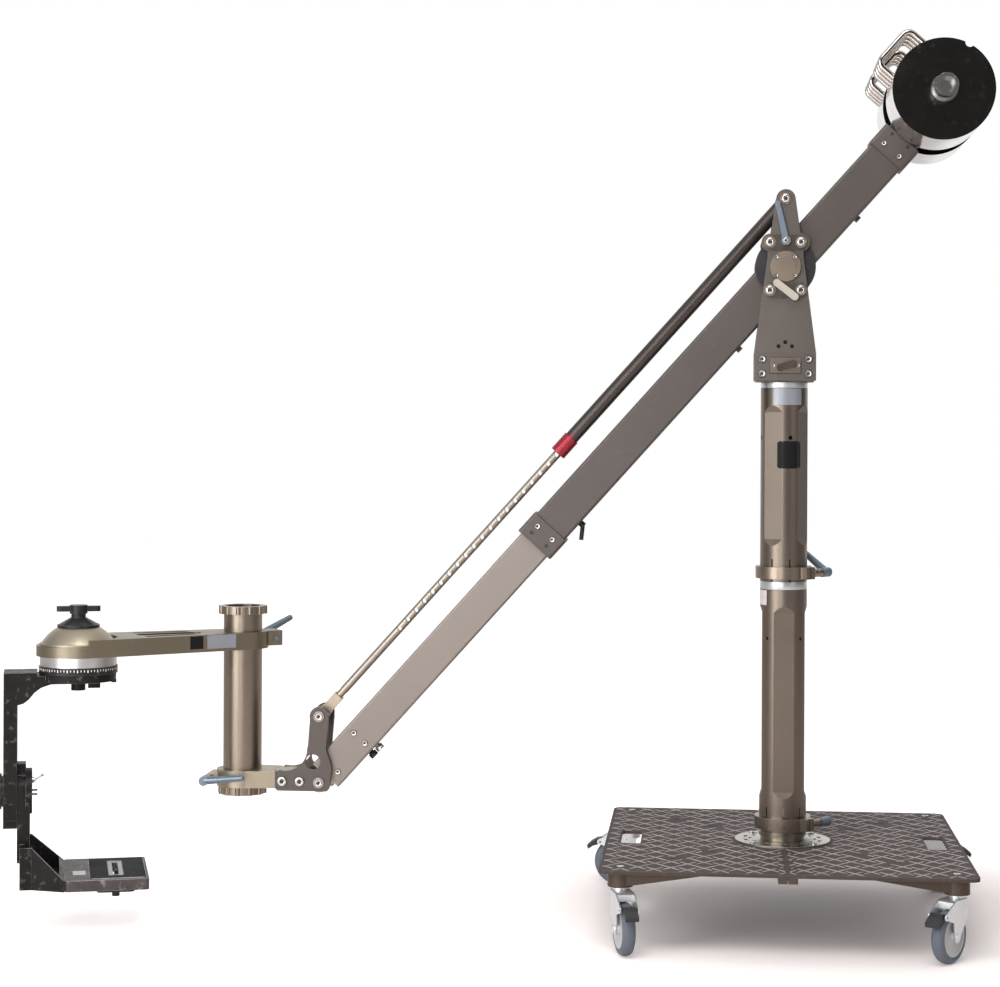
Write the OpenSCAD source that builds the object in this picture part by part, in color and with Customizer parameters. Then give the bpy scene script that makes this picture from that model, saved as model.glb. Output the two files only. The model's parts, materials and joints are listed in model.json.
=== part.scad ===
// Camera jib crane: a castored deck, a two-part column, a tilting telescopic beam with a
// levelling rod, a riser tube with an offset arm, and an underslung camera head.
// The front of the crane points to -X, +Z is up, and the column stands on the Z axis.

/* [Deck] */
// Side of the square deck
deck_w = 880; // [820:10:1000]
// Thickness of the tread plate
deck_t = 8; // [6:1:12]
// Height of the tread surface above the floor
deck_top = 199; // [196:1:204]
// Corner radius of the deck
deck_r = 24; // [10:1:40]
// Distance of a castor stem from the deck's edge
stem_inset = 50; // [44:1:60]
// Length of a hand slot
slot_l = 170; // [120:5:200]
// Width of a hand slot
slot_w = 50; // [36:1:60]
// Distance of a hand slot's centre from the column
slot_x = 378; // [360:1:384]
// Length of a tapered arm that carries a castor
castor_arm_l = 188; // [160:2:300]
// Radius of the round end of a castor arm
castor_boss_r = 30; // [26:1:36]
// Width of one seam bar under the deck
seam_bar_w = 22; // [16:1:30]
// Depth of a seam bar below the deck
seam_bar_h = 14; // [10:1:20]
// Pitch of the screws along the seam
seam_pitch = 90; // [80:1:100]
// Length of an accessory slot in the deck
acc_slot_l = 26; // [20:1:32]
// Width of an accessory slot in the deck
acc_slot_w = 11; // [8:1:14]

/* [Castors] */
// Diameter of a wheel over the tyre
wheel_d = 125; // [123:1:127]
// Width of a tyre
wheel_w = 32; // [28:1:34]
// Height of the rubber on the rim
tyre_h = 14; // [8:1:20]
// Distance of the axle behind the swivel stem
trail = 38; // [34:1:42]
// Thickness of a fork plate
fork_t = 3; // [2:0.5:4]
// Radius of the axle
axle_r = 5; // [4:0.5:6]
// Radius of the swivel stem
stem_r = 8; // [6:0.5:10]

/* [Column] */
// Outer radius of a column section
col_r = 58.5; // [56:0.5:61]
// Wall of a column section
col_wall = 10; // [8:0.5:12]
// Distance of a milled flat from the column axis
flat_d = 52.6; // [51:0.1:54]
// Length of the lower column section
lower_l = 598; // [520:1:660]
// Length of the upper column section
upper_l = 482; // [420:1:540]
// Height of the bare spigot collar on a section's top
spigot_h = 20; // [14:1:26]
// Length of a spigot plug inside the next section
plug_l = 84; // [60:2:110]
// Turn of the upper section's flats
upper_turn = -31; // [-45:1:0]
// Outer radius of a clamp ring
ring_r = 70; // [68:0.5:74]
// Height of a clamp ring
ring_h = 30; // [24:1:36]
// Direction of the clamp's split, from the front towards the rear of the crane
ring_turn = 50; // [40:1:60]
// Diameter of the flange on the deck
flange_d = 237; // [220:1:250]
// Thickness of the flange
flange_t = 4.5; // [4:0.5:8]

/* [Tower] */
// Height of the tilt pivot above the column's top
pivot_rise = 286; // [275:1:320]
// Distance between the two pivots of a link
link_l = 168; // [162:1:180]
// Thickness of a cheek plate
cheek_t = 14; // [10:1:18]
// Width of the cheek plates at the base
cheek_w = 152; // [146:1:160]
// Width of the cheek plates at the neck
neck_w = 88; // [82:1:94]
// Radius of the boss around the levelling pin
tongue_r = 24; // [20:1:28]
// Height of the block between the cheeks
block_h = 70; // [56:1:80]
// Radius of the tilt shaft
shaft_r = 15; // [12:1:18]
// Radius of the pan journal on the column
journal_r = 30; // [24:1:36]
// Radius of the levelling rod's pin
pin_r = 8; // [6:0.5:10]
// Radius of a hub cap
hub_r = 37.5; // [34:0.5:40]

/* [Beam] */
// Angle of the beam below the horizontal
beam_angle = 48.15; // [44:0.05:52]
// Distance from the tilt pivot to the front pivot
reach = 1752; // [1700:2:1800]
// Height of the outer beam tube
outer_h = 96.5; // [92:0.5:100]
// Width of the outer beam tube
outer_w = 78; // [72:1:84]
// Wall of the outer beam tube
outer_wall = 4; // [3:0.5:5]
// Wall of the inner beam tube
inner_wall = 4; // [3:0.5:6]
// Running gap between the two beam tubes, each side
beam_gap = 0.5; // [0.3:0.1:0.8]
// Distance of the front collar's outer face from the pivot
collar_front = 936; // [900:2:960]
// Distance of the rear collar's outer face from the pivot
collar_rear = 430; // [410:1:450]
// Length of a collar
collar_l = 59; // [50:1:70]
// Wall of a collar round the tube
collar_wall = 5.5; // [4:0.5:8]
// Overlap of the inner tube inside the outer tube
beam_overlap = 246; // [200:2:280]
// Radius of a friction disc at the pivot
disc_r = 75; // [70:1:80]
// Thickness of a friction disc
disc_t = 12; // [8:1:16]

/* [Levelling rod] */
// Outer radius of the upper rod tube
rod_r = 17.5; // [15:0.5:19]
// Outer radius of the lower rod
rod_in_r = 10.5; // [9:0.5:12]
// Distance of the red collar's front face from the upper pin
rod_split = 852; // [820:2:880]
// Length of the red collar
rod_collar_l = 52; // [40:1:60]
// Radius of the red collar
rod_collar_r = 20.5; // [19:0.5:24]
// Radius of an index hole
index_r = 5.5; // [4:0.5:6.5]
// Pitch of the index holes
index_pitch = 31.4; // [28:0.2:34]
// Number of index holes
index_n = 21; // [12:1:21]

/* [Front bracket] */
// Distance of the riser tube's axis from the front pivot
riser_off = 207; // [196:1:215]
// Thickness of a bracket plate
plate_t = 12; // [8:1:14]
// Gap between the bracket plates
plate_gap = 76; // [76:1:84]
// Height of the clamp block and of the offset arm
clamp_h = 43; // [38:1:48]
// Wall of a clamp round the riser tube
clamp_wall = 16; // [12:1:20]
// Outer radius of the riser tube
riser_r = 49; // [47:0.5:52]
// Wall of the riser tube
riser_wall = 5; // [4:0.5:8]
// Length of the riser tube between its ring nuts
riser_l = 440; // [380:2:520]
// Height of a ring nut
nut_h = 20; // [16:1:24]
// Radius of a ring nut over its lobes
nut_r = 63; // [59:1:66]

/* [Offset arm] */
// Distance from the riser tube to the head's pan axis
arm_l = 434; // [400:2:480]
// Swing of the arm towards the front side of the crane
arm_turn = 33.2; // [0:0.2:40]
// Height of the arm's underside above the clamp block
arm_rise = 309; // [260:1:320]
// Outer radius of the arm's end ring
end_r = 102.5; // [98:0.5:108]
// Height of the low rim of the end ring
end_h = 26; // [20:1:32]
// Radius of the dome's foot
dome_foot_r = 93; // [88:1:96]
// Height of the dome above the end ring
dome_h = 43; // [36:1:50]

/* [Camera head] */
// Turn of the camera head about its pan axis
head_turn = 16.9; // [0:0.1:30]
// Radius of the silver pan ring
pan_r = 93.5; // [90:0.5:98]
// Height of the silver pan ring
pan_h = 25; // [20:1:32]
// Height of the black dial ring
dial_h = 18; // [14:1:24]
// Distance of the side arm's inner face from the pan axis
side_x = 147; // [130:1:160]
// Thickness of the side arm
side_t = 33; // [30:1:44]
// Width of the side arm
side_w = 96; // [80:1:110]
// Distance of the tilt axis below the dial
tilt_drop = 290; // [270:1:310]
// Thickness of the tilt plate
tilt_t = 31; // [24:1:34]
// Width of the camera platform
plat_w = 203; // [180:1:230]
// Depth of the camera platform
plat_d = 280; // [240:2:300]
// Thickness of the camera platform
plat_t = 27; // [20:1:32]
// Rise of the lower bracket's walls above the platform
wall_rise = 75; // [60:1:80]
// Distance of the camera screw in front of the platform's middle
screw_y = 60; // [0:5:65]
// Distance of the platform's top below the tilt axis
plat_drop = 199; // [184:1:206]

/* [Counterweights] */
// Distance of the weight shaft from the pivot
weight_s = 550; // [540:1:580]
// Radius of a counterweight disc
weight_r = 122; // [110:1:126]
// Pitch of the discs along the shaft
weight_pitch = 50; // [36:1:56]
// Discs on each side
weight_n = 4; // [1:1:5]
// Radius of the weight shaft
weight_shaft_r = 20; // [16:1:24]
// Radius of a handle rod
handle_r = 7.5; // [6:0.5:9]
// Width of a handle between rod centres
handle_w = 108; // [90:1:130]
// Height of a handle's rod centre above the rim
handle_h = 38; // [34:1:50]

/* [Clamp levers] */
// Length of a clamp lever
lever_l = 108; // [90:1:112]
// Radius of a clamp lever's hub
lever_hub_r = 12; // [10:0.5:13]
// Length of a clamp lever's hub
lever_hub_l = 29; // [24:1:32]
// Radius of a clamp lever's tip
lever_tip_r = 7.5; // [6:0.5:8]
// Outward lean of a clamp lever
lever_lean = 8; // [2:1:12]
// Length of the barrel between a clamp and its lever
barrel_l = 36; // [30:1:40]
// Radius of a clamp screw
stud_r = 5; // [4:0.5:5.5]

/* [Hidden] */
$fn = 64;
eps = 0.01;
// Radial clearance of a running or sliding fit
fit = 0.05;
// Gap between a moving face and its seat
face_gap = 0.3;
// Radial clearance at the rod's lower pin, where the linkage is open
open_fit = 0.5;

bronze = [0.40, 0.36, 0.32];
champagne = [0.66, 0.60, 0.50];
dark = [0.30, 0.28, 0.27];
black = [0.10, 0.10, 0.10];
zinc = [0.78, 0.80, 0.82];
steel = [0.72, 0.72, 0.72];
chrome = [0.85, 0.84, 0.83];
lever_blue = [0.36, 0.43, 0.49];

deck_under = deck_top - deck_t;
stem_xy = deck_w / 2 - stem_inset;
wheel_r = wheel_d / 2;
crown_z = wheel_d + 3;
collar_z = crown_z + 19;
boss_z = collar_z + 8 + face_gap;
// Corner signs and swivel directions of the four castors: left front, right front, left back, right back
CASTORS = [[-1, -1, -74], [1, -1, -125], [-1, 1, 180], [1, 1, 0]];
fork_half = wheel_w / 2 + 4;

foot_z = deck_top + flange_t;
spigot_z = foot_z + 28.5;
bore_r = col_r - col_wall;
lower_top = spigot_z + lower_l;
upper_z = lower_top + spigot_h;
upper_top = upper_z + upper_l;
column_top = upper_top + 15;
slit_h = 56;
slit_w = 3.5;
flat_run = 20 / tan(20);
flat_start = 95;
upper_flat_start = 106;
flat_end_margin = 58;
ring_lift = 7;
ear_out = ring_r + 8;

tower_z = column_top + face_gap;
pivot_z = column_top + pivot_rise;
cheek_z = tower_z + 3;
block_top = tower_z + block_h;
cheek_in = outer_w / 2 + disc_t + face_gap;
cheek_out = cheek_in + cheek_t;
ear_z = 60;
ear_x = 38;
bar_r = 19;
bar_t = 8;
bar_low_z = -59;
bar_out = cheek_out + bar_t;

inner_h = outer_h - 2 * outer_wall - 2 * beam_gap;
inner_w = outer_w - 2 * outer_wall - 2 * beam_gap;
inner_front = reach - 25;
inner_rear = collar_front - beam_overlap;
// How far the telescope can be pushed in, in whole index holes
stroke = (index_n - 1) * index_pitch;
collar_h = outer_h + 2 * collar_wall;
collar_w = outer_w + 2 * collar_wall;
weight_in = collar_w / 2 + 5.5;
weight_out = weight_in + weight_n * weight_pitch;

plate_in = plate_gap / 2;
plate_out = plate_in + plate_t;
block_z = -16;
bracket_pin_r = 6;
bolt_r = 5;
pivot_bolt_r = 10;
clamp_r = riser_r + clamp_wall;
ear_pin = clamp_r + 15;
riser_z = block_z - face_gap;
riser_top = riser_z + riser_l;
arm_z = block_z + clamp_h + arm_rise;

ear_half = 31;
ring_ear_half = 17;

pan_top = arm_z - face_gap;
dial_top = pan_top - pan_h;
head_top = dial_top - dial_h;
disc_h = 19;
head_arm_z = head_top - disc_h - 5;
tilt_z = head_top - tilt_drop;
tilt_in = side_x - face_gap;
tilt_pin_r = 14;
plat_top = tilt_z - plat_drop;
plat_x0 = -33;
latch_x = 2;
lever_rise = 3;
pedal_x = trail + wheel_r * 0.75;
pedal_z = crown_z - 12;
tail_w = outer_w - 2 * outer_wall;
tail_h = outer_h - 2 * outer_wall;

module ycyl(r, y0, y1) {
    translate([0, y0, 0]) rotate([-90, 0, 0]) cylinder(r = r, h = y1 - y0);
}

module xcyl(r, x0, x1) {
    translate([x0, 0, 0]) rotate([0, 90, 0]) cylinder(r = r, h = x1 - x0);
}

module round_rect(w, d, r) {
    square([w - 2 * r, d], center = true);
    square([w, d - 2 * r], center = true);
    for (x = [-1, 1], y = [-1, 1])
        translate([x * (w / 2 - r), y * (d / 2 - r)]) circle(r = r);
}

module slot(l, w) {
    square([l - w, w], center = true);
    for (x = [-1, 1]) translate([x * (l - w) / 2, 0]) circle(r = w / 2);
}

// The outline round two circles of radius r1 and r2, the second at distance d along X
module taper(r1, r2, d) {
    a = acos((r1 - r2) / d);
    circle(r = r1);
    translate([d, 0]) circle(r = r2);
    polygon([[r1 * cos(a), r1 * sin(a)], [d + r2 * cos(a), r2 * sin(a)],
             [d + r2 * cos(a), -r2 * sin(a)], [r1 * cos(a), -r1 * sin(a)]]);
}

// Turns a profile drawn in X and Y into a plate in X and Z, from y0 to y1
module plate_xz(y0, y1) {
    translate([0, y1, 0]) rotate([90, 0, 0]) linear_extrude(height = y1 - y0) children();
}

module beam_frame() {
    translate([0, 0, pivot_z]) rotate([0, -beam_angle, 0]) children();
}

module rod_frame() {
    translate([0, 0, pivot_z + link_l]) rotate([0, -beam_angle, 0]) children();
}

module bracket_frame() {
    translate([-reach * cos(beam_angle), 0, pivot_z - reach * sin(beam_angle)]) children();
}

module riser_frame() {
    bracket_frame() translate([-riser_off, 0, 0]) children();
}

module arm_frame() {
    riser_frame() rotate([0, 0, 180 + arm_turn]) children();
}

module head_frame() {
    arm_frame() translate([arm_l, 0, 0]) rotate([0, 0, head_turn - 180 - arm_turn]) children();
}

module castor_frame(c) {
    translate([c[0] * stem_xy, c[1] * stem_xy, 0]) rotate([0, 0, c[2]]) children();
}

// A socket screw: a round head with a hexagonal recess, its shank along -Z
module screw(head_r, head_h, shank_r, shank_l) {
    difference() {
        cylinder(r = head_r, h = head_h);
        translate([0, 0, head_h / 2]) cylinder(r = head_r * 0.48, h = head_h, $fn = 6);
    }
    translate([0, 0, -shank_l]) cylinder(r = shank_r, h = shank_l + eps);
}

// A clamp lever whose hub and screw turn on the X axis; the screw reaches stud behind the hub
module lever(stud) {
    xcyl(lever_hub_r, 0, lever_hub_l);
    xcyl(stud_r, -stud, 1);
    translate([lever_hub_l * 0.68, 0, 0]) rotate([0, lever_lean, 0]) {
        cylinder(r1 = lever_hub_r - 2, r2 = lever_tip_r, h = lever_l - lever_tip_r);
        translate([0, 0, lever_l - lever_tip_r]) sphere(r = lever_tip_r);
    }
}

// The barrel of a clamp screw, from x along X
module barrel(x) {
    difference() {
        union() {
            xcyl(10.5, x, x + barrel_l * 0.4);
            xcyl(9.5, x, x + barrel_l);
            xcyl(10.5, x + barrel_l * 0.4 + 2, x + barrel_l);
        }
        xcyl(stud_r + 2 * fit, x - 1, x + barrel_l + 1);
    }
}

// Deck
module deck_half(side) {
    intersection() {
        translate([0, 0, deck_under]) linear_extrude(height = deck_t) difference() {
            round_rect(deck_w, deck_w, deck_r);
            translate([side * slot_x, 0]) rotate(90) round_rect(slot_l, slot_w, 12);
            for (y = [-1, 1]) {
                translate([side * 263, y * 265]) slot(acc_slot_l, acc_slot_w);
                translate([side * 175, y * 172]) slot(acc_slot_l, acc_slot_w);
                translate([side * stem_xy, y * stem_xy]) circle(r = 5);
                for (k = [2 : 4])
                    translate([side * (seam_bar_w / 2 + 1), y * k * seam_pitch]) circle(r = 3);
            }
            for (a = FLANGE_HOLES) rotate(a) translate([flange_hole_r, 0]) circle(r = 4.2);
        }
        translate([side > 0 ? face_gap / 2 : -deck_w, -deck_w, 0])
            cube([deck_w - face_gap / 2, 2 * deck_w, deck_top + 1]);
    }
}

flange_hole_r = flange_d / 2 - 12;
FLANGE_HOLES = [45, 135, 225, 315];

module platform_left() {
    color(dark) deck_half(-1);
}

module platform_right() {
    color(dark) deck_half(1);
}

// One tapered arm with its castor boss, for the corner with signs sx and sy
module castor_arm(sx, sy) {
    boss_h = deck_under - boss_z;
    translate([sx * stem_xy, sy * stem_xy, 0]) difference() {
        union() {
            translate([0, 0, boss_z]) cylinder(r = castor_boss_r, h = boss_h);
            translate([0, castor_boss_r - 4, 0]) rotate([90, 0, 0])
                linear_extrude(height = 2 * castor_boss_r - 8)
                    polygon([[0, boss_z + 6], [0, deck_under], [-sx * castor_arm_l, deck_under],
                             [-sx * castor_arm_l, deck_under - 5], [-sx * castor_boss_r, boss_z + 6]]);
        }
        translate([0, 0, boss_z - eps]) cylinder(r = stem_r + fit, h = boss_h - 8);
        translate([0, 0, deck_under - 10]) cylinder(r = 4.1, h = 11);
    }
}

module deck_frame() {
    color(bronze) {
        for (c = CASTORS) castor_arm(c[0], c[1]);
        for (side = [-1, 1]) difference() {
            translate([side * (1 + seam_bar_w / 2), 0, deck_under - seam_bar_h / 2])
                cube([seam_bar_w, deck_w - 4, seam_bar_h], center = true);
            for (y = [-1, 1], k = [2 : 4])
                translate([side * (seam_bar_w / 2 + 1), y * k * seam_pitch, deck_under - 9])
                    cylinder(r = 3, h = 10);
        }
    }
}

module deck_screws() {
    color(steel) {
        for (c = CASTORS) translate([c[0] * stem_xy, c[1] * stem_xy, deck_top])
            screw(9, 2.5, 4, deck_t + 8);
        for (side = [-1, 1], y = [-1, 1], k = [2 : 4])
            translate([side * (seam_bar_w / 2 + 1), y * k * seam_pitch, deck_top])
                screw(5, 1.6, 2.9, deck_t + 7);
        for (a = FLANGE_HOLES) rotate(a) translate([flange_hole_r, 0, foot_z])
            screw(7, 3, 4, flange_t + deck_t);
    }
}

module base_flange() {
    color(champagne) translate([0, 0, deck_top]) linear_extrude(height = flange_t) difference() {
        circle(r = flange_d / 2);
        for (a = FLANGE_HOLES) rotate(a) translate([flange_hole_r, 0]) circle(r = 4.2);
        for (a = [0 : 30 : 330]) rotate(a + 15) translate([flange_d / 2 - 24, 0]) rotate(90)
            slot(22, 8);
        for (a = [0 : 30 : 330]) rotate(a) translate([flange_d / 2 - 38, 0]) rotate(90) slot(16, 7);
    }
    color(bronze) translate([0, 0, foot_z]) {
        cylinder(r = col_r - 9, h = 10.5);
        translate([0, 0, 10.5]) cylinder(r = col_r, h = 9);
        translate([0, 0, 19.5]) cylinder(r = col_r - 4, h = 9);
        translate([0, 0, 28.5]) cylinder(r = bore_r - fit, h = plug_l);
    }
}

// Column
// A tube section with milled flats, slits at its foot and cross holes of a radius
module column_tube(length, flat_z0, flat_z1, hole_r) {
    difference() {
        cylinder(r = col_r, h = length);
        translate([0, 0, -1]) cylinder(r = bore_r, h = length + 2);
        for (a = [0 : 90 : 270]) rotate(a) translate([-col_r, 0, 0]) rotate([90, 0, 90])
            linear_extrude(height = 2 * col_r) polygon([
                [-flat_d, flat_z0], [-flat_d, flat_z1],
                [-flat_d - 20, flat_z1 + flat_run], [-flat_d - 20, flat_z0 - flat_run]]);
        for (a = [0 : 45 : 315]) rotate(a) translate([0, -col_r, slit_h / 2 - 1])
            cube([slit_w, 2 * col_wall + 4, slit_h + 2], center = true);
        for (a = [45 : 90 : 315]) rotate(a) translate([0, 0, flat_z1 - 64])
            ycyl(hole_r, -col_r - 1, -bore_r + 2);
    }
}

module column_lower() {
    color(bronze) translate([0, 0, spigot_z])
        column_tube(lower_l, flat_start, lower_l - flat_end_margin, 4);
    color(chrome) translate([0, 0, lower_top]) {
        cylinder(r = col_r - 0.8, h = spigot_h);
        translate([0, 0, -40]) cylinder(r = bore_r, h = 40 + eps);
        translate([0, 0, spigot_h - eps]) cylinder(r = bore_r - fit, h = plug_l);
    }
}

module column_upper() {
    color(bronze) translate([0, 0, upper_z]) rotate(upper_turn)
        column_tube(upper_l, upper_flat_start, upper_l - flat_end_margin - 2, 5.5);
    color(chrome) translate([0, 0, upper_top]) {
        cylinder(r = col_r - 0.8, h = column_top - upper_top);
        translate([0, 0, -40]) cylinder(r = bore_r, h = 40 + eps);
        cylinder(r = journal_r, h = column_top - upper_top + block_h - 14);
    }
}

// One split ring with its ears and the barrel of the clamp screw
module clamp_ring(z) {
    translate([0, 0, z]) rotate(ring_turn) {
        difference() {
            union() {
                cylinder(r = ring_r, h = ring_h);
                translate([-ring_ear_half, -ring_r - 16, 0]) cube([2 * ring_ear_half, 26, ring_h]);
            }
            translate([0, 0, -1]) cylinder(r = col_r + fit, h = ring_h + 2);
            translate([-2, -ring_r - 17, -1]) cube([4, 30, ring_h + 2]);
            translate([0, -ear_out, ring_h / 2])
                xcyl(stud_r + 2 * fit, -ring_ear_half + 5, ring_ear_half + 1);
        }
        translate([0, -ear_out, ring_h / 2]) barrel(ring_ear_half);
    }
}

module clamp_rings() {
    color(bronze) {
        clamp_ring(spigot_z + 0.5);
        clamp_ring(upper_z + ring_lift);
    }
}

// The lever of a clamp ring, resting turned by the angle spin about its screw
module clamp_lever(z, spin) {
    hub_x = ring_ear_half + barrel_l + face_gap;
    translate([0, 0, z + ring_h / 2]) rotate(ring_turn) translate([hub_x, -ear_out, 0])
        rotate([spin, 0, 0]) lever(hub_x + ring_ear_half - 6);
}

module clamp_lever_lower() {
    color(lever_blue) clamp_lever(spigot_z + 0.5, -106);
}

module clamp_lever_upper() {
    color(lever_blue) clamp_lever(upper_z + ring_lift, -60);
}

// Tower
module tower_block() {
    color(bronze) difference() {
        translate([-cheek_w / 2 + 4, -cheek_in, tower_z]) cube([cheek_w - 8, 2 * cheek_in, block_h]);
        translate([0, 0, tower_z - 1]) cylinder(r = journal_r + fit, h = block_h - 14 + face_gap + 1);
        for (y = [-1, 1]) tower_screw_places(y) translate([0, 0, -1]) cylinder(r = 4.1, h = 30);
    }
}

// The places of the four screws of a cheek, with Z pointing into the block
module tower_screw_places(y) {
    for (x = [-57, 57], z = [cheek_z + 17, cheek_z + 53])
        translate([x, y * cheek_out, z]) rotate([y * 90, 0, 0]) children();
}

// A cheek: wide foot, tapered waist, two ears, and a tongue up to the levelling pin
module cheek_outline() {
    foot = cheek_z - pivot_z;
    wide = foot + 66;
    half = cheek_w / 2;
    neck = neck_w / 2;
    polygon([[-half, foot], [half, foot], [half, wide], [neck, 26], [neck, ear_z],
             [-neck, ear_z], [-neck, 26], [-half, wide]]);
    for (x = [-1, 1]) translate([x * ear_x, ear_z]) circle(r = 22);
    translate([-ear_x, ear_z - 22]) square([2 * ear_x, 40]);
    translate([0, link_l]) rotate(-90) taper(tongue_r, 40, link_l - ear_z + 6);
}

module cheek_plates() {
    color(bronze) translate([0, 0, pivot_z]) for (y = [-1, 1]) difference() {
        plate_xz(y > 0 ? cheek_in : -cheek_out, y > 0 ? cheek_out : -cheek_in) cheek_outline();
        ycyl(shaft_r + fit, -cheek_out - 1, cheek_out + 1);
        translate([0, 0, link_l]) ycyl(pin_r + fit, -cheek_out - 1, cheek_out + 1);
        for (x = [-57, 57], z = [cheek_z + 17, cheek_z + 53])
            translate([x, 0, z - pivot_z]) ycyl(4.2, -cheek_out - 1, cheek_out + 1);
        for (p = [[0, 0], [-16.5, -10], [16.5, -10]])
            translate([p[0], 0, cheek_z + 95 + p[1] - pivot_z])
                ycyl(5.3, y > 0 ? cheek_out - 9 : -cheek_out - 1, y > 0 ? cheek_out + 1 : 9 - cheek_out);
        if (y < 0) {
            for (x = [-ear_x, ear_x], z = [ear_z, bar_low_z])
                translate([x, 0, z]) ycyl(5.1, -cheek_out - 1, -cheek_in + 1);
            for (z = [ear_z + lever_rise, bar_low_z])
                translate([0, 0, z]) ycyl(5.6, -cheek_out - 1, -cheek_in + 1);
            translate([latch_x, 0, cheek_z + 37 - pivot_z]) ycyl(5 + fit, -cheek_out - 1, -cheek_in - 3);
        }
    }
}

module tower_bars() {
    color(bronze) translate([0, 0, pivot_z]) for (z = [ear_z, bar_low_z]) difference() {
        translate([0, 0, z]) plate_xz(-bar_out, -cheek_out) slot(2 * ear_x + 2 * bar_r - 10, 2 * bar_r);
        for (x = [-ear_x, ear_x]) translate([x, 0, z]) ycyl(5.1, -bar_out - 1, -cheek_out + 1);
        translate([0, 0, z > 0 ? z + lever_rise : z]) ycyl(5.6, -bar_out - 1, -cheek_out + 1);
    }
    color(champagne) translate([0, 0, cheek_z + 37]) difference() {
        plate_xz(-cheek_out - 6, -cheek_out) round_rect(76, 37, 3);
        translate([latch_x, 0, 0]) ycyl(5 + fit, -cheek_out - 7, -cheek_out + 1);
    }
}

module tower_screws() {
    color(steel) {
        for (y = [-1, 1]) tower_screw_places(y) rotate([180, 0, 0]) screw(8.3, 4, 4, cheek_t + 14);
        for (x = [-ear_x, ear_x], z = [ear_z, bar_low_z])
            translate([x, -bar_out, pivot_z + z]) rotate([90, 0, 0]) screw(10, 5, 5, bar_t + 10);
        for (y = [-1, 1], a = [45 : 90 : 315])
            translate([32 * cos(a), y * (cheek_out + 10), pivot_z + 32 * sin(a)])
                rotate([-y * 90, 0, 0]) screw(4.2, 1.6, 2, 6);
    }
}

module pivot_shafts() {
    color(champagne) translate([0, 0, pivot_z]) difference() {
        union() {
            ycyl(shaft_r, -cheek_out, cheek_out);
            ycyl(hub_r, -cheek_out - 10, -cheek_out);
            ycyl(hub_r, cheek_out, cheek_out + 10);
        }
        for (y = [-1, 1], a = [45 : 90 : 315])
            translate([32 * cos(a), y * (cheek_out + 7), 32 * sin(a)]) ycyl(2.1, -4, 4);
    }
    color(steel) translate([0, 0, pivot_z + link_l]) {
        ycyl(pin_r, -cheek_out, cheek_out);
        for (y = [-1, 1]) {
            translate([0, y * cheek_out, 0]) rotate([-y * 90, 0, 0]) cylinder(r = 14, h = 4);
            translate([0, y * (cheek_out + 4), 0]) rotate([-y * 90, 0, 0]) screw(10, 5, 4, 1);
            translate([0, y * (21.5 + cheek_in) / 2, 0]) rotate([-90, 0, 0]) difference() {
                cylinder(r = 14, h = cheek_in - 21.5, center = true);
                cylinder(r = pin_r, h = cheek_in, center = true);
            }
        }
    }
}

module latch_knob() {
    color(black) translate([latch_x, -cheek_out - 6 - face_gap, cheek_z + 37]) rotate([0, -18, 0]) {
        plate_xz(-14, 0) slot(50, 17);
        ycyl(9, -3, 0);
        ycyl(5, -eps, 16);
    }
}

module tilt_lever() {
    color(lever_blue) translate([0, -bar_out - face_gap, pivot_z + ear_z + lever_rise]) {
        ycyl(11.5, -15, 0);
        ycyl(5.5, -eps, 18);
        rotate([0, -12.5, 0]) plate_xz(-13.5, -5) rotate(90) taper(8, 5.5, 96);
    }
}

module brake_lever() {
    color([0.86, 0.82, 0.70]) translate([0, -bar_out - face_gap, pivot_z + bar_low_z]) {
        ycyl(8, -10, 0);
        ycyl(5.5, -eps, 18);
        rotate([0, 38, 0]) plate_xz(-19, -9) slot(74, 18);
    }
}

// Beam
module box_tube(x0, x1, w, h, wall, r) {
    translate([x0, 0, 0]) rotate([90, 0, 90]) linear_extrude(height = x1 - x0) difference() {
        round_rect(w, h, r);
        round_rect(w - 2 * wall, h - 2 * wall, r - wall / 2);
    }
}

module beam_outer() {
    color(dark) beam_frame() {
        difference() {
            box_tube(-collar_front + 3, collar_rear - 3, outer_w, outer_h, outer_wall, 6);
            ycyl(shaft_r + fit, -outer_w, outer_w);
            for (s = BEAM_SCREWS, z = [-25, 25]) translate([s, 0, z]) ycyl(3, -outer_w, outer_w);
            translate([lever_s, 0, -outer_h]) cylinder(r = 6, h = outer_h);
        }
        ycyl_sleeve();
        difference() {
            box_tube(collar_rear - 130, weight_s + 46, tail_w, tail_h, 8, 4);
            for (s = BEAM_SCREWS, z = [-25, 25]) translate([s, 0, z]) ycyl(3, -outer_w, outer_w);
            translate([weight_s, 0, 0]) ycyl(weight_shaft_r + fit, -outer_w, outer_w);
        }
        for (s = [-227, 211]) translate([s, 0, -outer_h / 2 - 8])
            linear_extrude(height = 8) round_rect(15, 30, 3);
    }
}

BEAM_SCREWS = [-collar_front + 41, collar_rear - 41];
HOLLOW_SCREWS = [-collar_front + 19, collar_rear - 10];
lever_s = -819;

// The bearing sleeve that carries the tilt shaft across the beam
module ycyl_sleeve() {
    difference() {
        ycyl(shaft_r + 7, -outer_w / 2 + outer_wall, outer_w / 2 - outer_wall);
        ycyl(shaft_r + fit, -outer_w, outer_w);
    }
}

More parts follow.
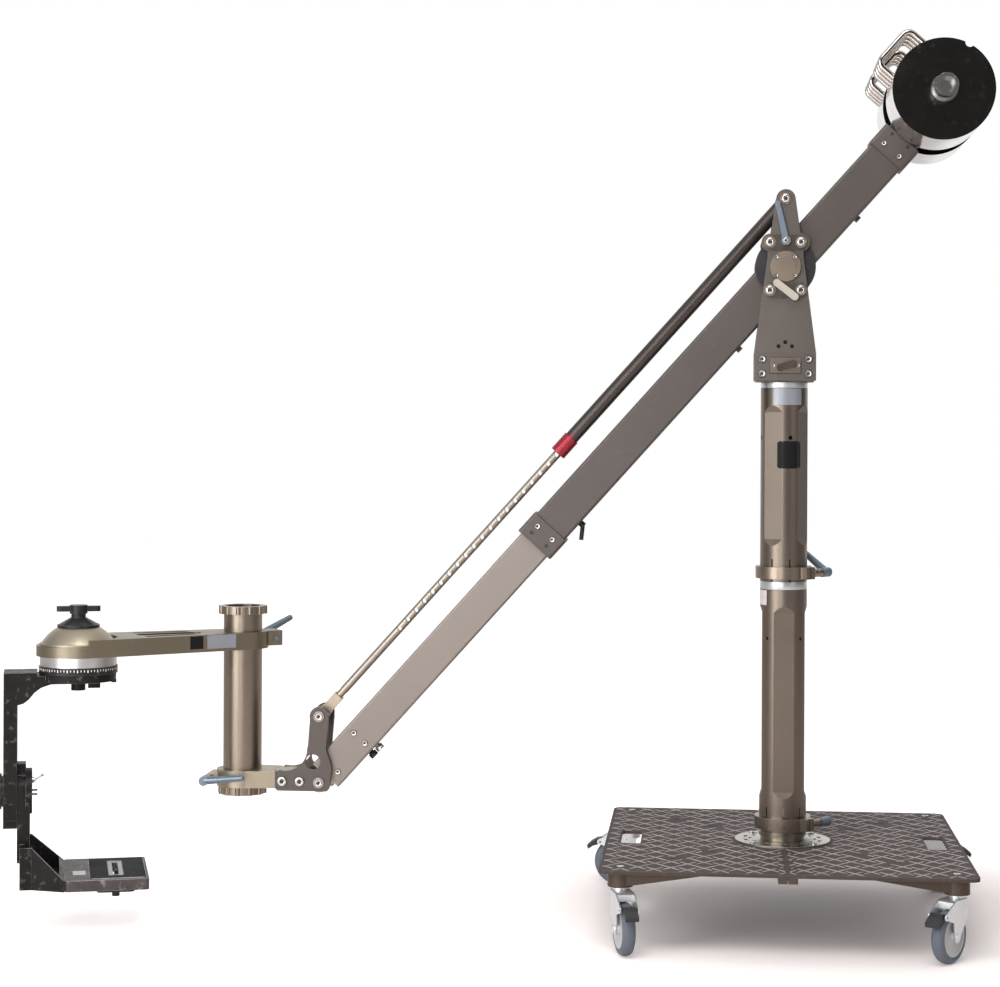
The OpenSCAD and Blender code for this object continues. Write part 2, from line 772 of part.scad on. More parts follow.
// A collar from s to s + collar_l, open for the tube inside it
module beam_collar(s, bore_w, bore_h) {
    difference() {
        translate([s, 0, 0]) rotate([90, 0, 90]) linear_extrude(height = collar_l) difference() {
            round_rect(collar_w, collar_h, 7);
            round_rect(outer_w, outer_h, 6);
        }
        for (x = BEAM_SCREWS, z = [-25, 25]) translate([x, 0, z]) ycyl(3, -collar_w, collar_w);
        for (x = HOLLOW_SCREWS, z = [-25, 25]) translate([x, 0, z]) {
            ycyl(5, -collar_w / 2 - 1, -collar_w / 2 + 4);
            ycyl(5, collar_w / 2 - 4, collar_w / 2 + 1);
        }
    }
    end = s < 0 ? s - 3 : s + collar_l;
    translate([end, 0, 0]) rotate([90, 0, 90]) linear_extrude(height = 3) difference() {
        round_rect(collar_w, collar_h, 7);
        round_rect(bore_w, bore_h, 4);
    }
}

module beam_collars() {
    color(bronze) beam_frame() {
        beam_collar(-collar_front + 3, inner_w + 2 * face_gap, inner_h + 2 * face_gap);
        beam_collar(collar_rear - collar_l - 3, tail_w, tail_h);
    }
    color(steel) beam_frame() for (s = BEAM_SCREWS, z = [-25, 25], y = [-1, 1])
        translate([s, y * collar_w / 2, z]) rotate([-y * 90, 0, 0])
            screw(6, 2.5, 2.9, collar_wall + outer_wall - 0.2);
}

module pivot_discs() {
    color(black) beam_frame() for (y = [-1, 1]) difference() {
        translate([0, y * (outer_w / 2 + disc_t / 2), 0]) ycyl(disc_r, -disc_t / 2, disc_t / 2);
        ycyl(shaft_r + fit, -outer_w, outer_w);
    }
}

module beam_lever() {
    color(black) beam_frame() translate([lever_s, 0, -outer_h / 2 - face_gap]) {
        translate([0, 0, -12]) cylinder(r = 8, h = 12);
        translate([0, 0, -eps]) cylinder(r = 5.9, h = outer_wall);
        translate([0, 0, -8]) rotate([0, 180 + beam_angle + 6, 0]) linear_extrude(height = 38) circle(r = 5.5);
    }
}

module beam_inner() {
    color([0.50, 0.46, 0.43]) beam_frame() {
        difference() {
            box_tube(-inner_front, -inner_rear, inner_w, inner_h, inner_wall, 5);
            for (p = END_SCREWS) translate([p[0], 0, p[1]]) ycyl(3, -outer_w, outer_w);
        }
        for (s = [139, 163]) translate([-reach + s, 0, -inner_h / 2 - 12]) {
            translate([0, 0, -4]) cylinder(r = 10.5, h = 13);
            cylinder(r = 7, h = 12);
        }
    }
}

END_SCREWS = [[-reach + 152, -19], [-reach + 152, 19], [-reach + 51, -17], [-reach + 51, 17]];

module beam_end_block() {
    eye_r = 27;
    color(champagne) beam_frame() difference() {
        union() {
            translate([-inner_front - eps, 0, 0]) rotate([90, 0, 90]) linear_extrude(height = 170)
                round_rect(inner_w - 2 * inner_wall, inner_h - 2 * inner_wall, 5);
            translate([-inner_front - 3, -inner_w / 2, -inner_h / 2]) cube([3, inner_w, inner_h]);
            translate([-reach, 0, 0]) {
                intersection() {
                    ycyl(eye_r, -plate_in + face_gap, plate_in - face_gap);
                    translate([-eye_r, -plate_in, -eye_r])
                        cube([eye_r + reach - inner_front, 2 * plate_in, 2 * eye_r]);
                }
                translate([0, -inner_w / 2, -eye_r])
                    cube([reach - inner_front - 1, inner_w, 2 * eye_r]);
            }
        }
        translate([-reach, 0, 0]) ycyl(pivot_bolt_r + fit, -plate_in - 1, plate_in + 1);
        for (p = END_SCREWS) translate([p[0], 0, p[1]]) ycyl(3, -outer_w, outer_w);
    }
    color(steel) beam_frame() for (p = END_SCREWS, y = [-1, 1])
        translate([p[0], y * inner_w / 2, p[1]]) rotate([-y * 90, 0, 0])
            screw(6.5, 2.2, 2.9, inner_wall + 10);
}

// Levelling rod
module rod_outer() {
    color(dark) rod_frame() difference() {
        union() {
            translate([-rod_split + rod_collar_l - 12, 0, 0]) rotate([0, 90, 0])
                cylinder(r = rod_r, h = rod_split - rod_collar_l + 12 - 14);
            ycyl(19, -21, 21);
        }
        xcyl(rod_in_r + 1, -rod_split, -70);
        ycyl(pin_r + fit, -22, 22);
        translate([-rod_split + rod_collar_l + 5, -rod_r - 1, 3]) ycyl(4.6, 0, 3.5);
    }
}

module rod_collar() {
    color([0.62, 0.10, 0.13]) rod_frame() difference() {
        xcyl(rod_collar_r, -rod_split, -rod_split + rod_collar_l);
        xcyl(rod_in_r + fit, -rod_split - 1, -rod_split + rod_collar_l);
        xcyl(rod_r, -rod_split + rod_collar_l - 12, -rod_split + rod_collar_l + 1);
    }
    color(steel) rod_frame() translate([-rod_split + rod_collar_l + 5, -rod_r, 3])
        ycyl(4.5, -1.5, 2.5);
}

module rod_inner() {
    rod_front = reach - 84;
    color(steel) rod_frame() difference() {
        xcyl(rod_in_r, -rod_front, -rod_split + 110);
        for (k = [0 : index_n - 1])
            translate([-rod_split + index_pitch - 5 - k * index_pitch, 0, 0])
                ycyl(index_r, -rod_in_r - 1, rod_in_r + 1);
    }
}

module rod_fork() {
    color(chrome) rod_frame() xcyl(rod_in_r - 1, -reach + 66, -reach + 84);
    color(champagne) rod_frame() difference() {
        union() {
            translate([-reach + 26, -15, -13]) cube([40, 30, 26]);
            translate([-reach, 0, 0]) plate_xz(-15, 15) taper(17, 12, 30);
        }
        translate([-reach, 0, 0]) ycyl(bracket_pin_r + open_fit, -16, 16);
    }
}

// Front bracket
module bracket_outline() {
    boss = 24;
    difference() {
        union() {
            translate([0, link_l]) circle(r = boss);
            polygon([[-boss + 1, link_l - 6], [-28, 95], [-32, 78], [-112, 24], [-112, block_z],
                     [-106, block_z - 6], [20, block_z - 6], [26, block_z],
                     [33, 34], [30, 48], [18, 86], [boss, link_l - 6]]);
        }
        translate([-88, 86]) circle(r = 58);
        translate([-15.5, 52]) circle(r = 19.5);
    }
    polygon([[-112, 24], [-112, block_z], [-60, block_z], [-60, 24]]);
}

BRACKET_BOLTS = [-94, -49];

module bracket_plates() {
    color(dark) bracket_frame() for (y = [-1, 1]) difference() {
        plate_xz(y > 0 ? plate_in : -plate_out, y > 0 ? plate_out : -plate_in) bracket_outline();
        for (x = BRACKET_BOLTS) translate([x, 0, 2]) ycyl(bolt_r + 0.1, -plate_out - 1, plate_out + 1);
        ycyl(pivot_bolt_r + fit, -plate_out - 1, plate_out + 1);
        translate([0, 0, link_l]) ycyl(bracket_pin_r + fit, -plate_out - 1, plate_out + 1);
    }
}

module clamp_block() {
    color(champagne) bracket_frame() difference() {
        translate([0, 0, block_z]) linear_extrude(height = clamp_h) {
            translate([-riser_off, 0]) difference() {
                circle(r = clamp_r);
                circle(r = riser_r + fit);
                translate([-clamp_r, 0]) square([60, 4], center = true);
            }
            difference() {
                polygon([[-riser_off, -clamp_r], [-112 - face_gap, -plate_out],
                         [-112 - face_gap, -plate_in], [-34, -plate_in], [-34, plate_in],
                         [-112 - face_gap, plate_in], [-112 - face_gap, plate_out],
                         [-riser_off, clamp_r]]);
                translate([-riser_off, 0]) circle(r = riser_r + fit);
                for (y = [-20, 20]) translate([-118, y]) circle(r = 5);
                for (y = [-12, 12]) translate([-72, y]) circle(r = 4);
            }
        }
        for (x = BRACKET_BOLTS) translate([x, 0, 2]) ycyl(bolt_r + 0.1, -plate_out, plate_out);
    }
    color(champagne) riser_frame() difference() {
        translate([-ear_pin, 0, block_z + clamp_h / 2]) {
            ycyl(11, -ear_half, ear_half);
            translate([0, -ear_half, -11]) cube([ear_pin - clamp_r + 8, 2 * ear_half, 22]);
        }
        cylinder(r = riser_r + fit, h = 2 * clamp_h, center = true);
        translate([-ear_pin, 0, block_z + clamp_h / 2]) {
            cube([60, 4, 30], center = true);
            ycyl(stud_r + 2 * fit, -ear_half - 1, ear_half - 6);
        }
    }
    color(bronze) riser_frame() translate([-ear_pin, 0, block_z + clamp_h / 2]) rotate(-90)
        barrel(ear_half);
}

module bracket_bolts() {
    color(steel) bracket_frame() {
        for (x = BRACKET_BOLTS) translate([x, 0, 2]) bolt_pair(bolt_r, 11, 4);
        bolt_pair(pivot_bolt_r, 13, 5);
        translate([0, 0, link_l]) {
            bolt_pair(bracket_pin_r, 13, 5);
            for (y = [-1, 1]) translate([0, y * (15.5 + plate_in) / 2, 0]) rotate([-90, 0, 0])
                difference() {
                    cylinder(r = 11, h = plate_in - 15.5, center = true);
                    cylinder(r = bracket_pin_r, h = plate_in, center = true);
                }
        }
    }
}

// A through bolt across the bracket with a recessed round head at each end
module bolt_pair(shank_r, head_r, head_h) {
    ycyl(shank_r, -plate_out - eps, plate_out + eps);
    for (y = [-1, 1]) translate([0, y * plate_out, 0]) rotate([-y * 90, 0, 0]) difference() {
        cylinder(r = head_r, h = head_h);
        translate([0, 0, head_h / 2]) cylinder(r = 4, h = head_h, $fn = 6);
    }
}

module clamp_block_lever() {
    hub_y = ear_half + barrel_l + face_gap;
    color(lever_blue) riser_frame() translate([-ear_pin, -hub_y, block_z + clamp_h / 2])
        rotate(-90) rotate([-84, 0, 0]) lever(hub_y + ear_half - 7);
}

// Riser tube
module riser_tube() {
    color(bronze) riser_frame() translate([0, 0, riser_z]) difference() {
        cylinder(r = riser_r, h = riser_l);
        translate([0, 0, -1]) cylinder(r = riser_r - riser_wall, h = riser_l + 2);
    }
    color(bronze) riser_frame() for (z = [riser_z - nut_h, riser_top]) translate([0, 0, z])
        difference() {
            cylinder(r = riser_r - 3, h = nut_h);
            translate([0, 0, -1]) cylinder(r = riser_r - riser_wall, h = nut_h + 2);
        }
}

module ring_nut(z) {
    lobes = 12;
    translate([0, 0, z]) difference() {
        union() {
            cylinder(r = nut_r - 4, h = nut_h);
            for (k = [0 : lobes - 1]) rotate(k * 360 / lobes) translate([nut_r - 6, 0, 0])
                cylinder(r = 6, h = nut_h);
        }
        translate([0, 0, -1]) cylinder(r = riser_r - 3 + fit, h = nut_h + 2);
    }
}

module ring_nuts() {
    color(bronze) riser_frame() {
        ring_nut(riser_z - nut_h);
        ring_nut(riser_top);
    }
}

// Offset arm
module offset_arm() {
    color(champagne) arm_frame() translate([0, 0, arm_z]) difference() {
        union() {
            linear_extrude(height = clamp_h) taper(clamp_r, end_r, arm_l);
            translate([-clamp_r - 8, 0, clamp_h / 2 + 2])
                cube([46, 2 * ear_half, clamp_h - 5], center = true);
        }
        translate([arm_l + 4, -end_r - 1, end_h]) cube([end_r + 1, 2 * end_r + 2, clamp_h]);
        translate([0, 0, -1]) cylinder(r = riser_r + fit, h = clamp_h + 2);
        translate([-clamp_r - 10, 0, clamp_h / 2]) cube([60, 4, clamp_h + 2], center = true);
        translate([-ear_pin, 0, clamp_h / 2]) ycyl(stud_r + 2 * fit, -ear_half - 1, ear_half + 1);
        translate([arm_l, 0, -1]) cylinder(r = dome_foot_r - 8, h = clamp_h + 2);
        translate([arm_l, 0, end_h]) cylinder(r = dome_foot_r + 2, h = clamp_h);
        translate([0, 0, -1]) linear_extrude(height = clamp_h + 2) for (y = [-1, 1])
            translate([arm_l / 2 - 12, y * 46]) rotate(y * 5) slot(148, 22);
        translate([arm_l / 2 - 18, 0, clamp_h - 12]) linear_extrude(height = 13) slot(170, 44);
    }
    color(bronze) arm_frame() translate([-ear_pin, 0, arm_z + clamp_h / 2]) rotate(-90)
        barrel(ear_half);
}

module arm_lever() {
    hub_y = ear_half + barrel_l + face_gap;
    color(lever_blue) arm_frame() translate([-ear_pin, -hub_y, arm_z + clamp_h / 2]) {
        rotate(-90) rotate([66, 0, 0]) lever(hub_y + ear_half + 1);
        ycyl(6.5, hub_y + ear_half, hub_y + ear_half + 2.5);
    }
}

module bowl_dome() {
    sphere_r = 105.6;
    foot = arm_z + end_h;
    color(champagne) head_frame() difference() {
        union() {
            translate([0, 0, foot]) cylinder(r = dome_foot_r + 2 - face_gap, h = 5);
            intersection() {
                translate([0, 0, foot - sqrt(pow(sphere_r, 2) - pow(dome_foot_r, 2))]) sphere(r = sphere_r);
                translate([0, 0, foot]) cylinder(r = dome_foot_r, h = dome_h);
            }
            translate([0, 0, arm_z]) cylinder(r = dome_foot_r - 8 - fit, h = end_h + 1);
        }
        translate([0, 0, arm_z - 1]) cylinder(r = 70, h = end_h - 4);
        translate([0, 0, arm_z]) cylinder(r = 8 + fit, h = 2 * end_h + dome_h);
    }
}

module tie_down_knob() {
    seat = arm_z + end_h + dome_h + face_gap;
    color(black) head_frame() translate([0, 0, seat]) {
        cylinder(r = 52, h = 6);
        translate([0, 0, 6]) cylinder(r1 = 50, r2 = 20, h = 17);
        translate([0, 0, 23]) cylinder(r = 18, h = 10);
        translate([0, 0, 33]) cylinder(r = 22, h = 21);
        translate([0, 0, 38]) linear_extrude(height = 13.5) slot(107, 18);
        translate([0, 0, -52]) cylinder(r = 8, h = 52 + eps);
    }
}

// Camera head
module pan_ring() {
    color(chrome) head_frame() translate([0, 0, dial_top]) difference() {
        cylinder(r = pan_r, h = pan_h);
        translate([0, 0, -1]) cylinder(r = 30 + fit, h = pan_h - 6);
    }
}

module dial_ring() {
    color(black) head_frame() {
        translate([0, 0, head_top]) cylinder(r = pan_r + 2.5, h = dial_h - face_gap);
        translate([0, 0, dial_top - face_gap - eps]) cylinder(r = 30, h = pan_h - 12);
    }
}

module head_bracket() {
    rise = head_arm_z + 29;
    inner = pan_r + 6;
    side_bottom = tilt_z - 86;
    color(black) head_frame() difference() {
        union() {
            translate([0, 0, head_top - disc_h]) cylinder(r = pan_r - 1, h = disc_h);
            translate([-side_x - side_t, -side_w / 2, head_arm_z])
                cube([side_x + side_t - inner, side_w, rise - head_arm_z]);
            translate([-inner - 1, -side_w / 2, head_arm_z])
                cube([inner + 50, side_w, head_top - head_arm_z - 3]);
            plate_xz(-side_w / 2, side_w / 2) translate([0, head_arm_z])
                polygon([[-side_x, -50], [-132, -46], [-119, -36], [-106, -20], [-90, -8],
                         [-66, 0], [-66, 1], [-side_x, 1]]);
            translate([0, 0, head_arm_z - 20]) cylinder(r = 17.5, h = 21);
            translate([38, -30, head_arm_z - 12]) linear_extrude(height = 13) slot(30, 11);
            translate([86, -20, head_top - disc_h - 5]) cylinder(r = 6.5, h = 8);
            translate([-side_x - side_t, -side_w / 2, side_bottom + 20])
                cube([side_t, side_w, head_arm_z - side_bottom]);
            translate([-side_x - side_t, -side_w / 2 + 8, side_bottom])
                cube([side_t, side_w - 16, 30]);
        }
        translate([0, 0, tilt_z]) xcyl(tilt_pin_r + fit, -side_x - side_t - 1, -side_x + 1);
    }
}

module tilt_knob() {
    color(black) head_frame() translate([-side_x - side_t - face_gap, 0, tilt_z]) {
        for (k = [0 : 9]) rotate([k * 36, 0, 0]) translate([0, 0, 38]) xcyl(6.5, -20, -4);
        xcyl(38, -22, 0);
        xcyl(tilt_pin_r, -eps, side_t - 13);
    }
}

module tilt_plate() {
    top = tilt_z + 70;
    color(black) head_frame() difference() {
        union() {
            translate([-tilt_in, -side_w / 2 + 2, plat_top + wall_rise - 46])
                cube([tilt_t, side_w - 4, tilt_z - plat_top - wall_rise + 46]);
            translate([0, 0, tilt_z]) xcyl(side_w / 2 - 2, -tilt_in, -tilt_in + tilt_t);
            translate([-tilt_in, -22, tilt_z + 30]) cube([tilt_t - 10, 44, top - tilt_z - 30]);
            translate([0, 0, tilt_z]) xcyl(56, -tilt_in + tilt_t - 10, -tilt_in + tilt_t + 5);
            translate([0, 0, tilt_z]) xcyl(tilt_pin_r, -side_x - side_t + 26, -tilt_in + eps);
            for (z = [6, -4]) translate([-tilt_in + tilt_t, -30, tilt_z + z]) xcyl(2.2, 0, 18);
        }
        translate([0, 0, tilt_z + 26]) xcyl(4 + fit, -tilt_in + tilt_t - 10, -tilt_in + tilt_t + 9);
    }
    color(dark) head_frame() lower_bracket();
}

// The open angle bracket between the tilt plate and the camera platform
module lower_bracket() {
    bottom = plat_top - plat_t;
    front = plat_d / 2;
    left = -tilt_in + 7;
    neck = 99;
    crease = -112;
    rim = 11;
    intersection() {
        plate_xz(-front, front) polygon([[left, bottom], [plat_x0, bottom], [plat_x0, plat_top],
                                         [crease, plat_top + wall_rise],
                                         [left, plat_top + wall_rise]]);
        union() {
            translate([0, 0, bottom]) linear_extrude(height = 200) difference() {
                polygon([[left, -neck], [crease, -neck], [plat_x0, -front],
                         [plat_x0, front], [crease, neck], [left, neck]]);
                polygon([[left + rim, -neck + rim], [crease, -neck + rim],
                         [plat_x0 - rim, -front + 1.6 * rim], [plat_x0 - rim, front - 1.6 * rim],
                         [crease, neck - rim], [left + rim, neck - rim]]);
            }
            translate([0, 0, bottom]) linear_extrude(height = 10)
                polygon([[left, -neck], [crease, -neck], [plat_x0, -front],
                         [plat_x0, front], [crease, neck], [left, neck]]);
        }
    }
}

module head_levers() {
    color(chrome) head_frame() translate([-tilt_in + tilt_t + 5 + face_gap, 0, tilt_z + 26]) {
        xcyl(4, -12, 8);
        xcyl(7, 0, 4);
        translate([6, 0, 0]) rotate([0, 58, 0]) cylinder(r = 2, h = 22);
        translate([6 + 22 * sin(58), 0, 22 * cos(58)]) sphere(r = 3.6);
    }
}

module camera_platform() {
    plat_mid = plat_x0 + plat_w / 2;
    screw_x = plat_x0 + 125;
    color(dark) head_frame() difference() {
        translate([plat_mid, 0, plat_top - plat_t]) linear_extrude(height = plat_t)
            round_rect(plat_w, plat_d, 10);
        translate([screw_x, 0, plat_top - plat_t - 1]) linear_extrude(height = plat_t + 2)
            rotate(90) slot(150, 14);
        translate([screw_x, 0, plat_top - 5]) linear_extrude(height = 6) rotate(90) round_rect(186, 36, 2);
        translate([screw_x, 0, plat_top - plat_t - 1]) linear_extrude(height = 13)
            rotate(90) round_rect(186, 24, 2);
    }
    color(steel) head_frame() translate([screw_x, 0, plat_top - 5]) linear_extrude(height = 5)
        rotate(90) difference() {
            round_rect(185.4, 35.4, 2);
            slot(150, 14);
        }
    color(black) head_frame() translate([plat_x0 + 129, 0, plat_top]) linear_extrude(height = 1.5)
        difference() {
            round_rect(136, plat_d - 32, 8);
            translate([-4, 0]) rotate(90) round_rect(186, 36, 2);
        }
}

module camera_screw() {
    screw_x = plat_x0 + 125;
    color(steel) head_frame() translate([screw_x, -screw_y, 0]) {
        translate([0, 0, plat_top - plat_t - 10]) cylinder(r = 4.8, h = plat_t + 18);
        translate([0, 0, plat_top - plat_t - 10]) cylinder(r = 20, h = 10 - face_gap);
        translate([0, 0, plat_top - plat_t - 18]) linear_extrude(height = 9) slot(92, 22);
        translate([0, 0, plat_top - plat_t - 28]) cylinder(r = 9.5, h = 11);
    }
}

// Counterweights
module weight_shaft() {
    color(chrome) beam_frame() translate([weight_s, 0, 0]) {
        ycyl(weight_shaft_r, -weight_out - 20, weight_out + 20);
        for (y = [-1, 1]) rotate([0, 0, y > 0 ? 180 : 0]) difference() {
            union() {
                ycyl(27.5, -weight_out - 70, -weight_out - 20);
                ycyl(27.5, -weight_out - 20, -weight_out - 1);
                ycyl(32, -weight_out - 8, -weight_out - 1);
            }
            ycyl(19, -weight_out - 71, -weight_out - 40);
            ycyl(weight_shaft_r, -weight_out - 20, -weight_out);
            translate([0, -weight_out - 68, 0]) cube([60, 6, 4], center = true);
        }
    }
}

// One disc with its bent carrying handle, its inner face at y
module weight_disc(y) {
    top = weight_r + handle_h;
    bend = 18;
    difference() {
        ycyl(weight_r, y, y + weight_pitch - 0.6);
        ycyl(weight_shaft_r + fit, y - 1, y + weight_pitch);
        rotate([0, 77, 0]) translate([0, y - 1, weight_r + 3])
            rotate([-90, 0, 0]) cylinder(r = 11, h = weight_pitch + 2);
    }
    translate([0, y + weight_pitch / 2, 0]) {
        for (x = [-1, 1]) translate([x * handle_w / 2, 0, 100])
            cylinder(r = handle_r, h = top - bend - 100);
        translate([0, 0, top]) xcyl(handle_r, -handle_w / 2 + bend, handle_w / 2 - bend);
        for (x = [0, 180]) rotate([0, 0, x]) translate([handle_w / 2 - bend, 0, top - bend])
            rotate([90, 0, 0]) rotate_extrude(angle = 90) translate([bend, 0]) circle(r = handle_r);
    }
}

module counterweights() {
    color(chrome) beam_frame() translate([weight_s, 0, 0]) for (k = [0 : weight_n - 1]) {
        weight_disc(weight_in + k * weight_pitch);
        weight_disc(-weight_in - (k + 1) * weight_pitch + 0.6);
    }
}

// Castors
module fork(c) {
    color(zinc) castor_frame(c) {
        translate([0, 0, collar_z]) cylinder(r = 19, h = 8);
        translate([0, 0, collar_z + 8 - eps]) cylinder(r = stem_r, h = deck_under - boss_z - 12);
        difference() {
            translate([0, 0, crown_z]) linear_extrude(height = collar_z - crown_z) union() {
                circle(r = fork_half + fork_t);
                translate([0, -fork_half - fork_t]) square([trail + 38, 2 * (fork_half + fork_t)]);
            }
            translate([trail + 8, -50, collar_z]) rotate([0, 30, 0]) cube([80, 100, 60]);
            translate([trail + 14, -fork_half, crown_z - 1]) cube([60, 2 * fork_half, 30]);
        }
        for (y = [-1, 1]) fork_side(y);
        translate([trail, 0, wheel_r]) {
            ycyl(axle_r, -fork_half - eps, fork_half + eps);
            for (y = [-1, 1]) translate([0, y * (fork_half + fork_t), 0]) rotate([-y * 90, 0, 0])
                cylinder(r = 8, h = 3);
        }
    }
}

// One side plate of a fork, from the crown down to the axle, with the ear of the pedal
module fork_side(y) {
    inner = y > 0 ? fork_half : -fork_half - fork_t;
    difference() {
        plate_xz(inner, inner + fork_t) {
            polygon([[-14, crown_z + 1], [trail + 38, crown_z + 1], [pedal_x + 1, pedal_z + 7.9],
                     [pedal_x - 3, pedal_z - 7.4], [trail + 14, crown_z - 30], [trail + 12, wheel_r],
                     [trail - 12, wheel_r], [-6, crown_z - 30]]);
            translate([pedal_x, pedal_z]) circle(r = 8);
            translate([trail, wheel_r]) circle(r = 12);
        }
        translate([pedal_x, 0, pedal_z]) ycyl(2.5 + fit, -30, 30);
    }
}

module wheel(c) {
    rim_r = wheel_r - tyre_h;
    color([0.80, 0.79, 0.80]) castor_frame(c) translate([trail, 0, wheel_r]) difference() {
        union() {
            ycyl(rim_r, -wheel_w / 2 + 3, wheel_w / 2 - 3);
            ycyl(14, -wheel_w / 2 - 3, wheel_w / 2 + 3);
        }
        ycyl(axle_r + fit, -wheel_w, wheel_w);
    }
    color([0.36, 0.38, 0.44]) castor_frame(c) translate([trail, 0, wheel_r]) rotate([90, 0, 0])
        rotate_extrude() difference() {
            union() {
                translate([rim_r, -wheel_w / 2]) square([tyre_h - 6, wheel_w]);
                translate([wheel_r - 6, -wheel_w / 2 + 6]) square([6, wheel_w - 12]);
                for (s = [-1, 1]) translate([wheel_r - 6, s * (wheel_w / 2 - 6)]) circle(r = 6);
            }
            translate([0, -wheel_w]) square([rim_r, 2 * wheel_w]);
        }
}

module pedal(c) {
    color(black) castor_frame(c) translate([pedal_x, 0, pedal_z]) {
        plate_xz(-fork_half + 4, fork_half - 4)
            polygon([[-7, 6], [8, 8], [22, 0], [36, -12], [33, -21], [20, -12], [6, -8], [-6, -2]]);
        ycyl(2.5, -fork_half - fork_t, fork_half + fork_t);
    }
}

platform_left();
platform_right();
deck_frame();
deck_screws();
base_flange();
column_lower();
column_upper();
clamp_rings();
clamp_lever_lower();
clamp_lever_upper();
tower_block();
cheek_plates();
tower_bars();
tower_screws();
pivot_shafts();
latch_knob();
tilt_lever();
brake_lever();
beam_outer();
beam_collars();
pivot_discs();
beam_lever();
beam_inner();
beam_end_block();
rod_outer();
rod_collar();
rod_inner();
rod_fork();
bracket_plates();
clamp_block();
bracket_bolts();
clamp_block_lever();
riser_tube();
ring_nuts();
offset_arm();
arm_lever();
bowl_dome();
tie_down_knob();
pan_ring();
dial_ring();
head_bracket();
tilt_knob();
tilt_plate();
head_levers();
camera_platform();
camera_screw();
weight_shaft();
counterweights();
fork(CASTORS[0]);  // fork_fl
fork(CASTORS[1]);  // fork_fr
fork(CASTORS[2]);  // fork_bl
fork(CASTORS[3]);  // fork_br
wheel(CASTORS[0]);  // wheel_fl
wheel(CASTORS[1]);  // wheel_fr
wheel(CASTORS[2]);  // wheel_bl
wheel(CASTORS[3]);  // wheel_br
pedal(CASTORS[0]);  // pedal_fl
pedal(CASTORS[1]);  // pedal_fr
pedal(CASTORS[2]);  // pedal_bl
pedal(CASTORS[3]);  // pedal_br
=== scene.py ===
"""Looks of a dolly-mounted camera jib crane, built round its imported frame.

Every sub-assembly is a class with its own sizes in metres. Each class dresses the frame's
nodes with a finish and adds the small pieces that the solids leave out.
"""

import json
import logging
import math
from dataclasses import dataclass, field
from enum import Enum
from itertools import product
from typing import Iterable, Sequence

import bmesh
import bpy
from mathutils import Matrix, Vector
from mathutils.bvhtree import BVHTree

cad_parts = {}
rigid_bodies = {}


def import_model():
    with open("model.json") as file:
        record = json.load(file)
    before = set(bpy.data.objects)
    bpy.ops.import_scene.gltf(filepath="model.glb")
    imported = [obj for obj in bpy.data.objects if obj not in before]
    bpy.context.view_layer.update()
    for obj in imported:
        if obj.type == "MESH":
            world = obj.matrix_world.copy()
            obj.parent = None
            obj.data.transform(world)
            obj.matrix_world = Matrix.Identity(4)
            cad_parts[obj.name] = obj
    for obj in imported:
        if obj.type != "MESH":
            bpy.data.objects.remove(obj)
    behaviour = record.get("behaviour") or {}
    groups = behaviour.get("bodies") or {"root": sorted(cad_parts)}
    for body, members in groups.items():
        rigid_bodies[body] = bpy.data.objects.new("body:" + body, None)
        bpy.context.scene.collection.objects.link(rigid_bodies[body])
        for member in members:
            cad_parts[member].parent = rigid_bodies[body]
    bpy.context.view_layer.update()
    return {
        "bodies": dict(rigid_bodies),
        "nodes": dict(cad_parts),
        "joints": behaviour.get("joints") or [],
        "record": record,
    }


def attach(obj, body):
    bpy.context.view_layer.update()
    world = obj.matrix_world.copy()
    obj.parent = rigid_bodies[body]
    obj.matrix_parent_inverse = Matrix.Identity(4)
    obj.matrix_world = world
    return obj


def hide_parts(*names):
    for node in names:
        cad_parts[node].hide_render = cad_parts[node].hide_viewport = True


LOG = logging.getLogger("jib_crane")

Pair = tuple[float, float]
Colour = tuple[float, float, float]
Verts = list[bmesh.types.BMVert]
Value = bpy.types.NodeSocket | float | tuple[float, ...]

SIDES = (-1, 1)
UP = Vector((0.0, 0.0, 1.0))
BESIDE = Vector((0.0, 1.0, 0.0))
WHITE = (1.0, 1.0, 1.0, 1.0)
HERE = Matrix.Identity(4)
QUARTER = math.pi / 2
# How deep the foot of an added piece is sunk into what it stands on.
BURIED = 0.0004


class Slot(Enum):
    """The record's finish slots that new pieces name."""

    TREAD = "tread"
    BRONZE = "bronze"
    CHAMPAGNE = "champagne"
    BLACK = "black_metal"
    SCREW = "screw"
    TYRE = "castor_tyre"
    ROD = "rod_dark"


def line_frame(origin: Vector, along: Vector, side: Vector) -> Matrix:
    """The frame that a turned piece is built in.

    Args:
        origin: A point on the piece's axis.
        along: The direction of the axis, which becomes Z.
        side: A direction square to it, which becomes X.

    Returns:
        The frame.
    """
    z = along.normalized()
    x = (side - side.dot(z) * z).normalized()
    return Matrix.Translation(origin) @ Matrix((x, z.cross(x), z)).transposed().to_4x4()


def circle(radius: float, steps: int) -> list[Pair]:
    """The points of a circle of some radius in a number of steps, anticlockwise."""
    turns = [math.tau * k / steps for k in range(steps)]
    return [(radius * math.cos(turn), radius * math.sin(turn)) for turn in turns]


def box(x0: float, x1: float, y0: float, y1: float) -> list[Pair]:
    """The corners of a rectangle between two places along X and two along Y, anticlockwise."""
    return [(x0, y0), (x1, y0), (x1, y1), (x0, y1)]


# ---------------------------------------------------------------- meshes


